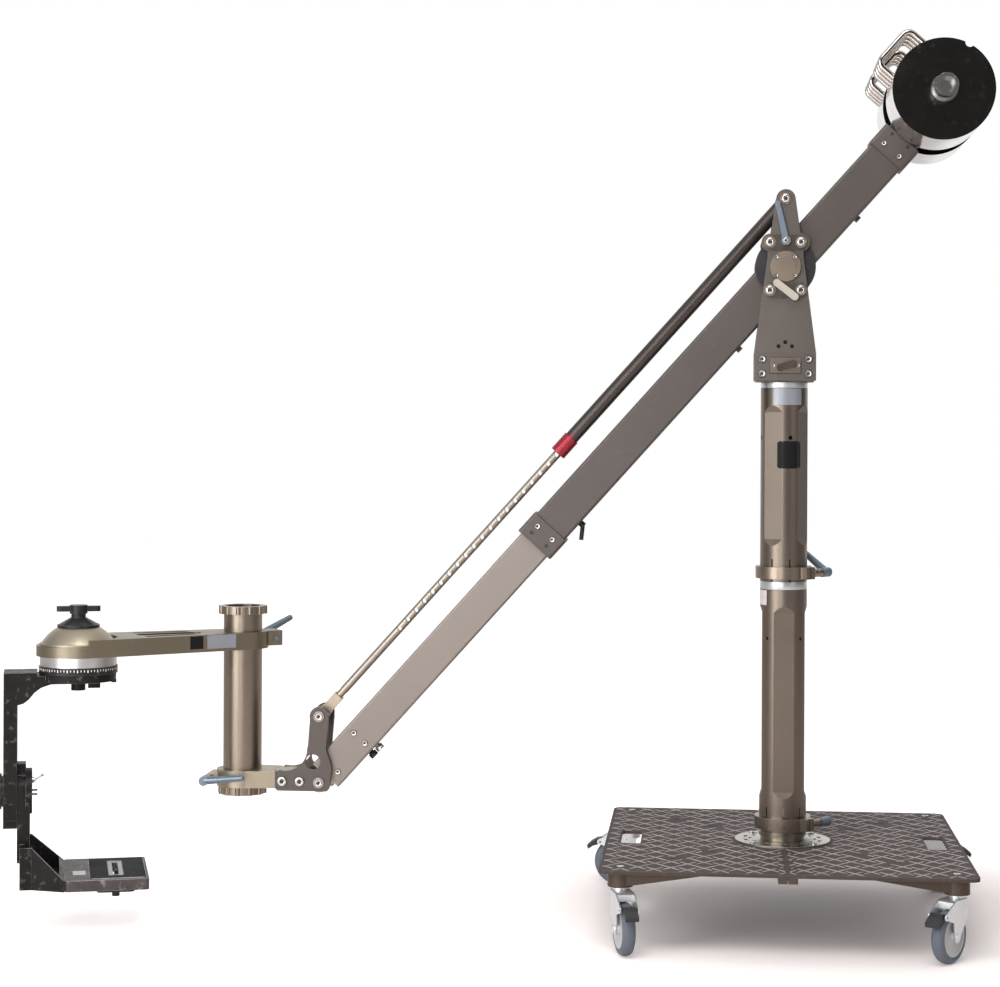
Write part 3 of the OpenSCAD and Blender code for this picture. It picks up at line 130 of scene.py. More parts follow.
class MeshMaker:
    """Builds meshes from rings of points and turns them into pieces."""

    HEAD_STEPS = 36

    def __init__(self) -> None:
        """Starts with an empty mesh."""
        self.bm = bmesh.new()

    def ring(self, points: Iterable[Sequence[float]], place: Matrix = HERE) -> Verts:
        """Adds a row of points that are given in a frame."""
        return [self.bm.verts.new(place @ Vector(point)) for point in points]

    def loft(self, rings: list[Verts], closed: bool = False, capped: bool = True) -> None:
        """Joins rings of as many points by strips of faces.

        Args:
            rings: The rings, in order.
            closed: Whether the last ring joins the first one again.
            capped: Whether the first and the last ring are filled.
        """
        for low, high in zip(rings, rings[1:] + (rings[:1] if closed else [])):
            for k in range(len(low)):
                after = (k + 1) % len(low)
                self.bm.faces.new((low[k], low[after], high[after], high[k]))
        if capped and not closed:
            self.bm.faces.new(list(reversed(rings[0])))
            self.bm.faces.new(rings[-1])

    def lathe(self, profile: Sequence[Pair], steps: int, place: Matrix) -> None:
        """Adds a solid turned form from radius and height pairs, bottom to top."""
        self.loft([self.ring([(x, y, height) for x, y in circle(radius, steps)], place)
                   for radius, height in profile])

    def ring_body(self, profile: Sequence[Pair], steps: int, place: Matrix) -> None:
        """Adds a turned ring from radius and height pairs that run round its section."""
        self.loft([self.ring([(x * radius, y * radius, height) for radius, height in profile], place)
                   for x, y in circle(1.0, steps)], closed=True)

    def socket_head(self, radius: float, height: float, place: Matrix) -> None:
        """Adds the head of a screw with a chamfered rim and a hexagon socket.

        Args:
            radius: The head's radius.
            height: The head's height.
            place: Where it sits, with Z pointing out of it.
        """
        flats = radius * 0.46
        rings = []
        for hexagon, size, high in ((False, radius, 0.0), (False, radius, 0.78),
                                    (False, radius * 0.93, 1.0), (True, flats * 1.08, 1.0),
                                    (True, flats, 0.93), (True, flats, 0.55)):
            points = []
            for k, (x, y) in enumerate(circle(size, self.HEAD_STEPS)):
                turn = math.tau * k / self.HEAD_STEPS % (math.pi / 3) - math.pi / 6
                reach = 1.0 / math.cos(turn) if hexagon else 1.0
                points.append((x * reach, y * reach, high * height))
            rings.append(self.ring(points, place))
        self.loft(rings)

    def prism(self, outline: Sequence[Pair], low: float, high: float, place: Matrix,
              inset: float = 0.0) -> None:
        """Adds an upright prism, with a bevelled top where an inset is given.

        Args:
            outline: The corners, anticlockwise.
            low: The height of its foot.
            high: The height of its top.
            place: Where the outline lies.
            inset: How far the top edge is drawn in.
        """
        middle = sum((Vector(point) for point in outline), Vector((0.0, 0.0))) / len(outline)
        levels = [(low, 0.0), (high - inset, 0.0), (high, inset)] if inset else [(low, 0.0), (high, 0.0)]
        rings = []
        for height, pull in levels:
            away = [Vector(point) - middle for point in outline]
            drawn = [middle + step * max(0.0, 1.0 - pull / max(step.length, 1e-9)) for step in away]
            rings.append(self.ring([(point.x, point.y, height) for point in drawn], place))
        self.loft(rings)

    def piece(self, name: str, finish: bpy.types.Material, smooth: float) -> bpy.types.Object:
        """Turns what was added into a piece of the scene.

        Args:
            name: The piece's name.
            finish: Its material.
            smooth: Edges flatter than this many degrees are shaded smooth.

        Returns:
            The new object.
        """
        bmesh.ops.recalc_face_normals(self.bm, faces=self.bm.faces)
        mesh = bpy.data.meshes.new(name)
        self.bm.to_mesh(mesh)
        self.bm.free()
        mesh.materials.append(finish)
        mesh.shade_smooth()
        mesh.set_sharp_from_angle(angle=math.radians(smooth))
        return put_in_scene(name, mesh)


def put_in_scene(name: str, data: bpy.types.ID) -> bpy.types.Object:
    """Makes an object of some data and puts it in the scene.

    Args:
        name: The object's name.
        data: Its mesh, lamp or camera.

    Returns:
        The new object.
    """
    thing = bpy.data.objects.new(name, data)
    bpy.context.scene.collection.objects.link(thing)
    return thing


# ---------------------------------------------------------------- materials


class Graph:
    """A node tree that is written down one node at a time."""

    def __init__(self, tree: bpy.types.NodeTree) -> None:
        """Takes the tree that the nodes go into."""
        self.tree = tree

    def fill(self, sockets: bpy.types.NodeInputs, values: dict[str | int, Value]) -> None:
        """Links sockets to others, or sets them.

        Args:
            sockets: The sockets of a node.
            values: What each of them takes, by name or place.
        """
        for key, value in values.items():
            if isinstance(value, bpy.types.NodeSocket):
                self.tree.links.new(value, sockets[key])
            else:
                sockets[key].default_value = value

    def node(self, kind: str, values: dict[str | int, Value] | None = None,
             **settings: object) -> bpy.types.Node:
        """Places a node.

        Args:
            kind: Its kind, without what all shader nodes' kinds start with.
            values: What its sockets take.
            settings: Its own settings.

        Returns:
            The new node.
        """
        node = self.tree.nodes.new(f"ShaderNode{kind}")
        for name, value in settings.items():
            setattr(node, name, value)
        self.fill(node.inputs, values or {})
        return node

    def math(self, operation: str, *values: Value, clamp: bool = False) -> bpy.types.NodeSocket:
        """The result of a sum on numbers, kept between 0 and 1 where it is clamped."""
        node = self.node("Math", dict(enumerate(values)), operation=operation, use_clamp=clamp)
        return node.outputs["Value"]

    def span(self, value: Value, low: float = 0.0, high: float = 1.0, to_low: Value = 0.0,
             to_high: Value = 1.0, smooth: bool = False) -> bpy.types.NodeSocket:
        """Maps a value from one range to another one, with eased ends where it is smooth."""
        ends = {"Value": value, "From Min": low, "From Max": high, "To Min": to_low, "To Max": to_high}
        return self.node("MapRange", ends, interpolation_type="SMOOTHSTEP" if smooth else "LINEAR").outputs[0]

    def mix(self, share: Value, first: Value, second: Colour) -> bpy.types.NodeSocket:
        """Mixes a share of the second colour into the first one, which may be a socket."""
        first = (*first, 1.0) if isinstance(first, tuple) else first
        return self.node("Mix", {"Factor": share, "A": first, "B": (*second, 1.0)},
                         data_type="RGBA").outputs["Result"]

    def noise(self, scale: Value, detail: float, rough: float) -> bpy.types.NodeSocket:
        """A noise that stays with the object, with a number of lumps in a metre."""
        return self.node("TexNoise", {"Vector": self.node("TexCoord").outputs["Object"], "Scale": scale,
                                      "Detail": detail, "Roughness": rough}).outputs["Fac"]


class Effects:
    """Shader node groups that the finishes share, each built once."""

    BREAKUP = (60.0, 4.0, 0.5)
    BREAK_GAIN = (0.16, -0.08)
    RUBBED = (0.985, 0.9)
    GRAIN = (1400.0, 2.0, 0.7)
    CLOUD_LAYERS = (6.0, 0.62)
    CLOUD_GAIN = (2.2, -0.6)

    def __init__(self) -> None:
        """Makes the groups."""
        self.edge = self.edge_wear()
        self.grain = self.fine_grain()
        self.cloud = self.handling_cloud()

    @staticmethod
    def group(name: str, ins: dict[str, float], outs: dict[str, str]) -> tuple:
        """Starts a group with named sockets.

        Args:
            name: The group's name.
            ins: The name and the default of each input.
            outs: The name and the kind of each output.

        Returns:
            The group's graph, what it is given, and what it gives.
        """
        tree = bpy.data.node_groups.new(name, "ShaderNodeTree")
        for label, value in ins.items():
            socket = tree.interface.new_socket(label, in_out="INPUT", socket_type="NodeSocketFloat")
            socket.default_value = value
        for label, kind in outs.items():
            tree.interface.new_socket(label, in_out="OUTPUT", socket_type=f"NodeSocket{kind}")
        return Graph(tree), tree.nodes.new("NodeGroupInput").outputs, tree.nodes.new("NodeGroupOutput").inputs

    def edge_wear(self) -> bpy.types.NodeTree:
        """Rounded edges for the light, and a broken mask where edges are rubbed."""
        graph, given, out = self.group("edge_wear", {"Radius": 0.001, "Spread": 0.5},
                                       {"Normal": "Vector", "Mask": "Float"})
        soft = graph.node("Bevel", {"Radius": given["Radius"]}, samples=4).outputs["Normal"]
        flat = graph.node("NewGeometry").outputs["Normal"]
        same = graph.node("VectorMath", {0: soft, 1: flat}, operation="DOT_PRODUCT").outputs["Value"]
        broken = graph.math("MULTIPLY_ADD", graph.noise(*self.BREAKUP), *self.BREAK_GAIN)
        rubbed = graph.span(graph.math("SUBTRACT", same, broken), *self.RUBBED)
        graph.fill(out, {"Normal": soft, "Mask": graph.math("MULTIPLY", rubbed, given["Spread"], clamp=True)})
        return graph.tree

    def fine_grain(self) -> bpy.types.NodeTree:
        """The fine tooth of a blasted or painted skin, as a height."""
        graph, _, out = self.group("fine_grain", {}, {"Height": "Float"})
        graph.fill(out, {"Height": graph.noise(*self.GRAIN)})
        return graph.tree

    def handling_cloud(self) -> bpy.types.NodeTree:
        """Slow clouds of handling, as one mask."""
        graph, given, out = self.group("handling_cloud", {"Scale": 9.0}, {"Mask": "Float"})
        slow = graph.noise(given["Scale"], *self.CLOUD_LAYERS)
        graph.fill(out, {"Mask": graph.math("MULTIPLY_ADD", slow, *self.CLOUD_GAIN, clamp=True)})
        return graph.tree


@dataclass(frozen=True)
class Finish:
    """One surface finish, worked out as a node material.

    Attributes:
        name: What the finish is called.
        colour: Its main colour.
        shade: The colour of its slow clouds.
        bare: The colour that shows where edges are rubbed.
        metallic: 1 for bare or anodised metal, less for paint.
        bare_metallic: The same for rubbed edges.
        rough: Its roughness.
        rough_var: How far handling changes the roughness.
        wear: How much of the edges is rubbed.
        edge: The radius of its softened edges in metres.
        tooth: How high the grain stands, in metres.
        cloud_scale: How many clouds there are in a metre.
        specular: How much a painted skin mirrors.
        face: The colour of flat faces square to Y, where it differs.
    """

    name: str
    colour: Colour
    shade: Colour
    bare: Colour = (0.45, 0.43, 0.4)
    metallic: float = 0.0
    bare_metallic: float = 1.0
    rough: float = 0.4
    rough_var: float = 0.12
    wear: float = 0.3
    edge: float = 0.0012
    tooth: float = 0.00002
    cloud_scale: float = 9.0
    specular: float = 0.5
    face: Colour | None = None

    def build(self, effects: Effects) -> bpy.types.Material:
        """Makes the material.

        Args:
            effects: The shared shader groups.

        Returns:
            The finished material.
        """
        material = bpy.data.materials.new(self.name)
        material.use_nodes = True
        graph = Graph(material.node_tree)
        edge = graph.node("Group", {"Radius": self.edge, "Spread": self.wear}, node_tree=effects.edge)
        cloud = graph.node("Group", {"Scale": self.cloud_scale}, node_tree=effects.cloud)
        clouds, rubbed = cloud.outputs["Mask"], edge.outputs["Mask"]
        tint = graph.mix(clouds, self.colour, self.shade)
        if self.face:
            normal = graph.node("TexCoord").outputs["Normal"]
            across = graph.node("SeparateXYZ", {"Vector": normal}).outputs["Y"]
            tint = graph.mix(graph.span(graph.math("ABSOLUTE", across), 0.9, 0.99), tint, self.face)
        even = self.metallic == self.bare_metallic or not self.wear
        skin = {"Specular IOR Level": self.specular,
                "Base Color": graph.mix(rubbed, tint, self.bare),
                "Metallic": self.metallic if even else graph.span(rubbed, 0.0, 1.0, self.metallic,
                                                                  self.bare_metallic),
                "Roughness": graph.span(clouds, 0.0, 1.0, max(0.03, self.rough - self.rough_var),
                                        min(1.0, self.rough + self.rough_var))}
        if self.edge:
            grain = graph.node("Group", node_tree=effects.grain)
            skin["Normal"] = graph.node("Bump", {"Strength": 1.0, "Distance": self.tooth,
                                                 "Height": grain.outputs["Height"],
                                                 "Normal": edge.outputs["Normal"]}).outputs["Normal"]
        graph.fill(graph.tree.nodes["Principled BSDF"].inputs, skin)
        return material


FINISHES = (
    Finish("tread", (0.056, 0.044, 0.04), (0.09, 0.073, 0.068), (0.3, 0.28, 0.27), rough=0.62, wear=0.5,
           cloud_scale=5.0, tooth=0.00004, specular=0.1),
    Finish("tread_rib", (0.46, 0.4, 0.39), (0.2, 0.17, 0.165), (0.5, 0.46, 0.45), rough=0.5, wear=0.3,
           cloud_scale=26.0, tooth=0.00003, specular=0.3),
    Finish("screw", (0.62, 0.61, 0.6), (0.5, 0.49, 0.48), (0.8, 0.8, 0.8), metallic=1.0, rough=0.28, wear=0.2,
           edge=0.0004, cloud_scale=60.0),
    Finish("screw_bright", (0.62, 0.6, 0.59), (0.55, 0.53, 0.52), metallic=1.0, rough=0.24, wear=0.0,
           edge=0.0003, cloud_scale=60.0, tooth=0.0),
    Finish("bronze_shine", (0.34, 0.27, 0.2), (0.38, 0.31, 0.23), (0.5, 0.45, 0.38), metallic=1.0, rough=0.28,
           wear=0.1, tooth=0.0),
    Finish("cheek_bronze", (0.168, 0.147, 0.132), (0.186, 0.163, 0.147), (0.42, 0.39, 0.36), metallic=1.0,
           rough=0.36, rough_var=0.04, wear=0.35, cloud_scale=4.0),
    Finish("bar_bronze", (0.105, 0.091, 0.081), (0.12, 0.104, 0.093), (0.34, 0.31, 0.28), metallic=1.0,
           rough=0.36, rough_var=0.04, wear=0.35, cloud_scale=4.0),
    Finish("hub_spun", (0.36, 0.29, 0.225), (0.34, 0.275, 0.215), metallic=1.0, rough=0.36, wear=0.0,
           cloud_scale=4.0, tooth=0.0),
    Finish("knob_brown", (0.05, 0.036, 0.028), (0.06, 0.044, 0.035), (0.2, 0.16, 0.13), metallic=0.3,
           rough=0.38, wear=0.3),
    Finish("flange_silver", (0.5, 0.47, 0.43), (0.42, 0.4, 0.37), (0.75, 0.74, 0.72), metallic=1.0, rough=0.3,
           wear=0.4),
    Finish("bronze", (0.2, 0.165, 0.135), (0.22, 0.184, 0.152), (0.42, 0.39, 0.35), metallic=1.0, rough=0.34,
           rough_var=0.04, wear=0.25, cloud_scale=4.0),
    Finish("bronze_light", (0.27, 0.225, 0.18), (0.295, 0.248, 0.2), (0.5, 0.46, 0.41), metallic=1.0,
           rough=0.3, rough_var=0.04, wear=0.3, cloud_scale=5.0),
    Finish("lever_blue", (0.155, 0.2, 0.25), (0.175, 0.22, 0.27), (0.4, 0.42, 0.45), metallic=0.5, rough=0.33,
           wear=0.25),
    Finish("frame_bronze", (0.08, 0.058, 0.042), (0.092, 0.068, 0.05), (0.3, 0.26, 0.22), metallic=0.5,
           rough=0.45, rough_var=0.05, wear=0.2, cloud_scale=5.0),
    Finish("champagne", (0.4, 0.345, 0.265), (0.43, 0.375, 0.29), (0.62, 0.58, 0.52), metallic=1.0,
           rough=0.42, rough_var=0.05, wear=0.25, cloud_scale=6.0),
    Finish("arm_bronze", (0.235, 0.205, 0.15), (0.255, 0.222, 0.165), (0.55, 0.5, 0.43), metallic=1.0,
           rough=0.38, rough_var=0.05, wear=0.3, cloud_scale=6.0),
    Finish("black_metal", (0.014, 0.014, 0.015), (0.02, 0.02, 0.02), (0.28, 0.27, 0.26), rough=0.36,
           wear=0.45, specular=0.3),
    Finish("cream", (0.49, 0.46, 0.385), (0.43, 0.4, 0.335), (0.75, 0.72, 0.62), metallic=0.2, rough=0.38,
           wear=0.2),
    Finish("beam_dark", (0.095, 0.08, 0.075), (0.108, 0.092, 0.085), (0.3, 0.28, 0.26), metallic=0.55,
           rough=0.42, rough_var=0.05, wear=0.2, cloud_scale=3.0),
    Finish("black_disc", (0.03, 0.027, 0.032), (0.036, 0.033, 0.038), (0.25, 0.24, 0.24), metallic=0.3,
           rough=0.32, wear=0.2),
    Finish("beam_light", (0.235, 0.205, 0.185), (0.26, 0.228, 0.205), (0.45, 0.42, 0.38), metallic=0.7,
           rough=0.42, rough_var=0.06, wear=0.15, cloud_scale=3.0),
    Finish("rod_dark", (0.06, 0.05, 0.045), (0.075, 0.064, 0.058), metallic=0.6, rough=0.3, rough_var=0.04,
           wear=0.0, edge=0.0),
    Finish("red", (0.28, 0.018, 0.03), (0.32, 0.022, 0.035), metallic=0.4, rough=0.32, rough_var=0.04,
           wear=0.0, edge=0.0),
    Finish("rod_light", (0.4, 0.36, 0.31), (0.36, 0.32, 0.28), metallic=1.0, rough=0.44, rough_var=0.04,
           wear=0.0, edge=0.0),
    Finish("silver", (0.72, 0.72, 0.71), (0.62, 0.62, 0.61), (0.85, 0.85, 0.85), metallic=1.0, rough=0.3,
           wear=0.3),
    Finish("black_worn", (0.009, 0.008, 0.008), (0.016, 0.014, 0.014), (0.34, 0.32, 0.3), rough=0.42,
           rough_var=0.15, wear=1.0, cloud_scale=22.0, tooth=0.00003, specular=0.15),
    Finish("chrome", (0.74, 0.72, 0.7), (0.66, 0.64, 0.62), (0.85, 0.85, 0.84), metallic=1.0, rough=0.14,
           rough_var=0.05, wear=0.2, edge=0.0004, cloud_scale=14.0, tooth=0.0),
    Finish("chrome_weight", (0.7, 0.66, 0.63), (0.62, 0.58, 0.55), (0.85, 0.82, 0.79), metallic=1.0,
           rough=0.15, rough_var=0.05, wear=0.5, edge=0.0005, cloud_scale=14.0, tooth=0.0,
           face=(0.1, 0.092, 0.085)),
    Finish("platform_grey", (0.044, 0.038, 0.038), (0.085, 0.074, 0.072), (0.62, 0.58, 0.57), rough=0.48,
           wear=1.0, edge=0.0016, cloud_scale=24.0, specular=0.3),
    Finish("rubber", (0.01, 0.01, 0.011), (0.015, 0.015, 0.016), rough=0.75, wear=0.0, edge=0.0004,
           specular=0.2),
    Finish("zinc", (0.84, 0.86, 0.87), (0.76, 0.78, 0.8), (0.88, 0.89, 0.9), metallic=0.85, rough=0.34,
           rough_var=0.08, wear=0.2, cloud_scale=20.0),
    Finish("castor_tyre", (0.105, 0.125, 0.16), (0.12, 0.14, 0.175), (0.2, 0.22, 0.25), bare_metallic=0.0,
           rough=0.55, wear=0.1),
    Finish("castor_rim", (0.52, 0.52, 0.53), (0.46, 0.46, 0.47), (0.62, 0.62, 0.62), bare_metallic=0.0,
           rough=0.45, wear=0.1),
    Finish("black_plastic", (0.02, 0.02, 0.022), (0.028, 0.028, 0.03), (0.08, 0.08, 0.08), bare_metallic=0.0,
           rough=0.5, wear=0.2),
    Finish("label_silver", (0.3, 0.31, 0.35), (0.27, 0.28, 0.32), (0.7, 0.7, 0.7), metallic=0.3, rough=0.35,
           wear=0.1),
    Finish("label_pale", (0.62, 0.57, 0.56), (0.56, 0.52, 0.51), rough=0.45, wear=0.0, tooth=0.0),
    Finish("sticker_black", (0.006, 0.006, 0.007), (0.008, 0.008, 0.009), rough=0.5, wear=0.0, tooth=0.0,
           specular=0.2),
    Finish("tick_white", (0.88, 0.88, 0.86), (0.68, 0.68, 0.66), rough=0.6, wear=0.0),
    Finish("collar_bare", (0.6, 0.64, 0.66), (0.52, 0.56, 0.58), (0.8, 0.8, 0.8), metallic=0.8, rough=0.34,
           wear=0.2),
)


class Finishes:
    """All finishes of the crane, by the record's slot names."""

    def __init__(self) -> None:
        """Builds every material once."""
        effects = Effects()
        self.made = {finish.name: finish.build(effects) for finish in FINISHES}

    def __getitem__(self, name: str) -> bpy.types.Material:
        """The material of that name."""
        return self.made[name]


# ---------------------------------------------------------------- the crane's parts


@dataclass
class SubAssembly:
    """One sub-assembly of the crane, which dresses its nodes and adds its own pieces."""

    frame: dict
    finishes: Finishes
    made: list[str] = field(default_factory=list)

    LOOKS = {}
    PATCH_CELLS = (28, 16)
    PATCH_OUT = 0.0003
    RAY_BACK = 0.02
    RAY_REACH = 0.08
    LARGEST_STEP = 0.004
    # Sizes of the painted shade: the dark hexagon in a socket, and the dark ring painted as the shadow round
    # a lifted head.
    HEX_SHARE = 0.53
    PAINTED_SHADOW_WIDE = 0.0013
    PAINTED_SHADOW_HIGH = 0.0003

    def dress(self) -> None:
        """Gives the nodes of the frame their finishes."""
        for finish, nodes in self.LOOKS.items():
            for node in nodes:
                for slot in self.frame["nodes"][node].material_slots:
                    slot.material = self.finishes[finish]

    def build(self) -> None:
        """Adds the pieces that the solids leave out; some sub-assemblies have none."""

    def patch(self, name: str, node: str, finish: str, body: str, slot: Slot, centre: Vector,
              right: Vector, size: Pair, corner: float = 0.0) -> None:
        """Lays a thin plain label on an upright surface of a node, following it.

        Args:
            name: The label's name.
            node: The node that it lies on.
            finish: The finish's name.
            body: The body that it rides on.
            slot: The record's slot, which is handed on to add.
            centre: A point just outside the surface, over the label's middle.
            right: The direction of its width.
            size: Its width and height.
            corner: The radius of its corners.
        """
        mesh = self.frame["nodes"][node].data
        tree = BVHTree.FromPolygons([v.co.copy() for v in mesh.vertices],
                                    [tuple(f.vertices) for f in mesh.polygons])
        inward = UP.cross(right).normalized()
        across, down = self.PATCH_CELLS
        maker = MeshMaker()
        rings = []
        first = 0.0
        for j in range(down + 1):
            row = []
            depth = first
            high = size[1] * (j / down - 0.5)
            short = max(0.0, corner - (size[1] / 2 - abs(high)))
            reach = size[0] / 2 - (corner - math.sqrt(max(0.0, corner ** 2 - short ** 2)))
            for i in range(across + 1):
                start = (centre + right * (reach * (2.0 * i / across - 1.0)) + UP * high
                         - inward * self.RAY_BACK)
                hit, _, _, far = tree.ray_cast(start, inward, self.RAY_REACH)
                if hit is None or (depth and abs(far - depth) > self.LARGEST_STEP):
                    if not depth:
                        LOG.warning("%s misses %s", name, node)
                        return
                    hit = start + inward * depth
                else:
                    depth = far
                    first = far if i == 0 else first
                row.append(hit)
            rings.append(maker.ring([*(point - inward * self.PATCH_OUT for point in row),
                                     *(point + inward * BURIED for point in reversed(row))]))
        maker.loft(rings)
        self.add(maker, name, finish, body, slot, smooth=30.0)

    def heads(self, name: str, body: str, places: Sequence[Matrix], radius: float, high: float = 0.0024,
              lift: float = 0.0) -> None:
        """Puts socket heads over screws, each with a dark hexagon of painted shade at the foot of its socket.

        Args:
            name: The name of the heads.
            body: The body that they ride on.
            places: Where they sit, with Z pointing out of each.
            radius: Their radius.
            high: Their height.
            lift: How far above the surface they sit; 0 leaves out the dark ring of painted shadow round them.
        """
        bright, dark = MeshMaker(), MeshMaker()
        # The section of the dark ring painted as the shadow round a lifted head.
        shade = box(radius - 0.001, radius + self.PAINTED_SHADOW_WIDE, 0.0, self.PAINTED_SHADOW_HIGH)
        for place in places:
            bright.socket_head(radius, high, place)
            # A dark hexagon painted as the shade deep in the socket.
            dark.prism(circle(radius * self.HEX_SHARE, 6), high * 0.3, high * 0.62, place)
            if lift:
                dark.ring_body(shade, 32, place @ Matrix.Translation((0, 0, -lift)))
        self.add(bright, name, "screw_bright", body, Slot.SCREW)
        # The painted shade: dark hexagons in the sockets and dark rings round lifted heads.
        self.add(dark, f"{name}_sockets", "black_plastic", body, Slot.BLACK)

    def discs(self, name: str, body: str, finish: str, slot: Slot, places: Sequence[Matrix], radius: float,
              high: float, bore: float = 0.0) -> None:
        """Lays thin round pieces, such as washers, or dark discs of painted shade at the ends of holes.

        Args:
            name: The name of the pieces.
            body: The body that they ride on.
            finish: Their finish.
            slot: The record's slot, which is handed on to add.
            places: Where they sit, with Z pointing out of each.
            radius: Their radius.
            high: Their height.
            bore: The radius of the hole in them.
        """
        maker = MeshMaker()
        washer = [(bore, 0.0), (radius, 0.0), (radius, high * 0.7), (radius - high * 0.3, high), (bore, high)]
        for place in places:
            if bore:
                maker.ring_body(washer, 40, place)
            else:
                maker.lathe([(radius, 0.0), (radius, high)], 40, place)
        self.add(maker, name, finish, body, slot)

    def add(self, maker: MeshMaker, name: str, finish: str, body: str, slot: Slot,
            instead_of: Sequence[str] = (), smooth: float = 40.0) -> None:
        """Finishes a new piece and ties it to its body.

        Args:
            maker: What holds its mesh.
            name: The piece's name.
            finish: The finish's name.
            body: The body that it rides on.
            slot: The record's slot; not used.
            instead_of: The nodes that it stands for.
            smooth: Edges flatter than this many degrees are shaded smooth.
        """
        thing = maker.piece(name, self.finishes[finish], smooth)
        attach(thing, body)
        if instead_of:
            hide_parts(*instead_of)
        self.made.append(name)
        LOG.info("%s rides on %s", name, body)


def spots(points: Iterable[Pair], out: float, sides: Sequence[int] = SIDES) -> list[Matrix]:
    """Frames at places along X and Z, whose Z points out of faces that stand that far along Y."""
    return [Matrix.Translation((x, side * out, z)) @ Matrix.Rotation(-side * QUARTER, 4, "X")
            for x, z in points for side in sides]


@dataclass
class Deck(SubAssembly):
    """The two deck halves with their raised tread.

    The keep-outs are given for one quarter of the deck: boxes by the place and the half size
    along X and Y, discs by the place and the radius.
    """

    half: float = 0.44
    border: float = 0.004
    chamfer: float = 0.022
    top: float = 0.199
    seam: float = 0.0008
    rib_l: float = 0.128
    rib_w: float = 0.0054
    rib_h: float = 0.0012
    lean: float = 1.25
    step_x: float = 0.0388
    step_y: float = 0.072

    LOOKS = {"tread": ("platform_left", "platform_right"), "frame_bronze": ("deck_frame",),
             "screw": ("deck_screws",), "flange_silver": ("base_flange",)}
    BOXES = ((0.378, 0.0, 0.024, 0.082), (0.263, 0.265, 0.022, 0.008), (0.175, 0.172, 0.022, 0.008))
    DISCS = ((0.0, 0.0, 0.1205), (0.39, 0.39, 0.013), (0.012, 0.18, 0.0065), (0.012, 0.27, 0.0065),
             (0.012, 0.36, 0.0065))
    SECTION = ((-1.0, 0.0), (-0.72, 0.62), (-0.25, 1.0), (0.25, 1.0), (0.72, 0.62), (1.0, 0.0))
    TAPER = ((0.0, 0.35, 0.25), (0.07, 0.85, 1.0), (0.2, 1.0, 1.0), (0.8, 1.0, 1.0), (0.93, 0.85, 1.0),
             (1.0, 0.35, 0.25))
    STEPS = 22
    SHORTEST = 4

    def free(self, x: float, y: float, margin: float) -> bool:
        """Says whether a point of the deck is clear of holes, slots, the flange and the edges.

        Args:
            x: The place along X.
            y: The place along Y.
            margin: How far it has to be from each of them.

        Returns:
            True where a rib may stand.
        """
        x, y = abs(x), abs(y)
        edge = self.half - self.border - margin
        if max(x, y) > edge or x + y > 2 * self.half - self.chamfer or x <= self.seam + margin:
            return False
        if any(abs(x - a) < wide + margin and abs(y - b) < tall + margin for a, b, wide, tall in self.BOXES):
            return False
        return not any(math.hypot(x - a, y - b) < radius + margin for a, b, radius in self.DISCS)

    def rib(self, maker: MeshMaker, start: Vector, end: Vector) -> None:
        """Adds one raised rib with rounded flanks and tapered ends.

        Args:
            maker: What takes its mesh.
            start: One end on the deck.
            end: The other end.
        """
        along = (end - start).normalized()
        across = Vector((-along.y, along.x, 0.0)) * (self.rib_w / 2)
        rings = []
        for share, wide, tall in self.TAPER:
            middle = start.lerp(end, share) + UP * (self.top - BURIED)
            lift = tall * (self.rib_h + BURIED)
            rings.append(maker.ring([middle + across * (side * wide) + UP * (height * lift)
                                     for side, height in self.SECTION]))
        maker.loft(rings)

    def lay(self, maker: MeshMaker, side: int) -> None:
        """Lays the ribs of one deck half, each cut where something is in its way.

        Args:
            maker: What takes the mesh.
            side: -1 for the left half, 1 for the right one.
        """
        cells_x, cells_y = (int(self.half / step) + 2 for step in (self.step_x, self.step_y))
        for i, j in product(range(-cells_x, cells_x + 1), range(-cells_y, cells_y + 1)):
            middle = Vector(((i + 0.5) * self.step_x, j * self.step_y, 0.0))
            lean = self.lean if i % 2 else -self.lean
            half = Vector((0.5, 0.5 * lean, 0.0)).normalized() * (self.rib_l / 2)
            run: list[Vector] = []
            for k in range(self.STEPS + 2):
                point = middle - half + half * (2.0 * k / self.STEPS)
                if k <= self.STEPS and point.x * side > 0 and self.free(point.x, point.y, self.rib_w / 2):
                    run.append(point)
                    continue
                if len(run) > self.SHORTEST:
                    self.rib(maker, run[0], run[-1])
                run = []

    def build(self) -> None:
        """Lays the tread."""
        for name, side in (("tread_left", -1), ("tread_right", 1)):
            maker = MeshMaker()
            self.lay(maker, side)
            self.add(maker, name, "tread_rib", "dolly", Slot.TREAD, smooth=50.0)


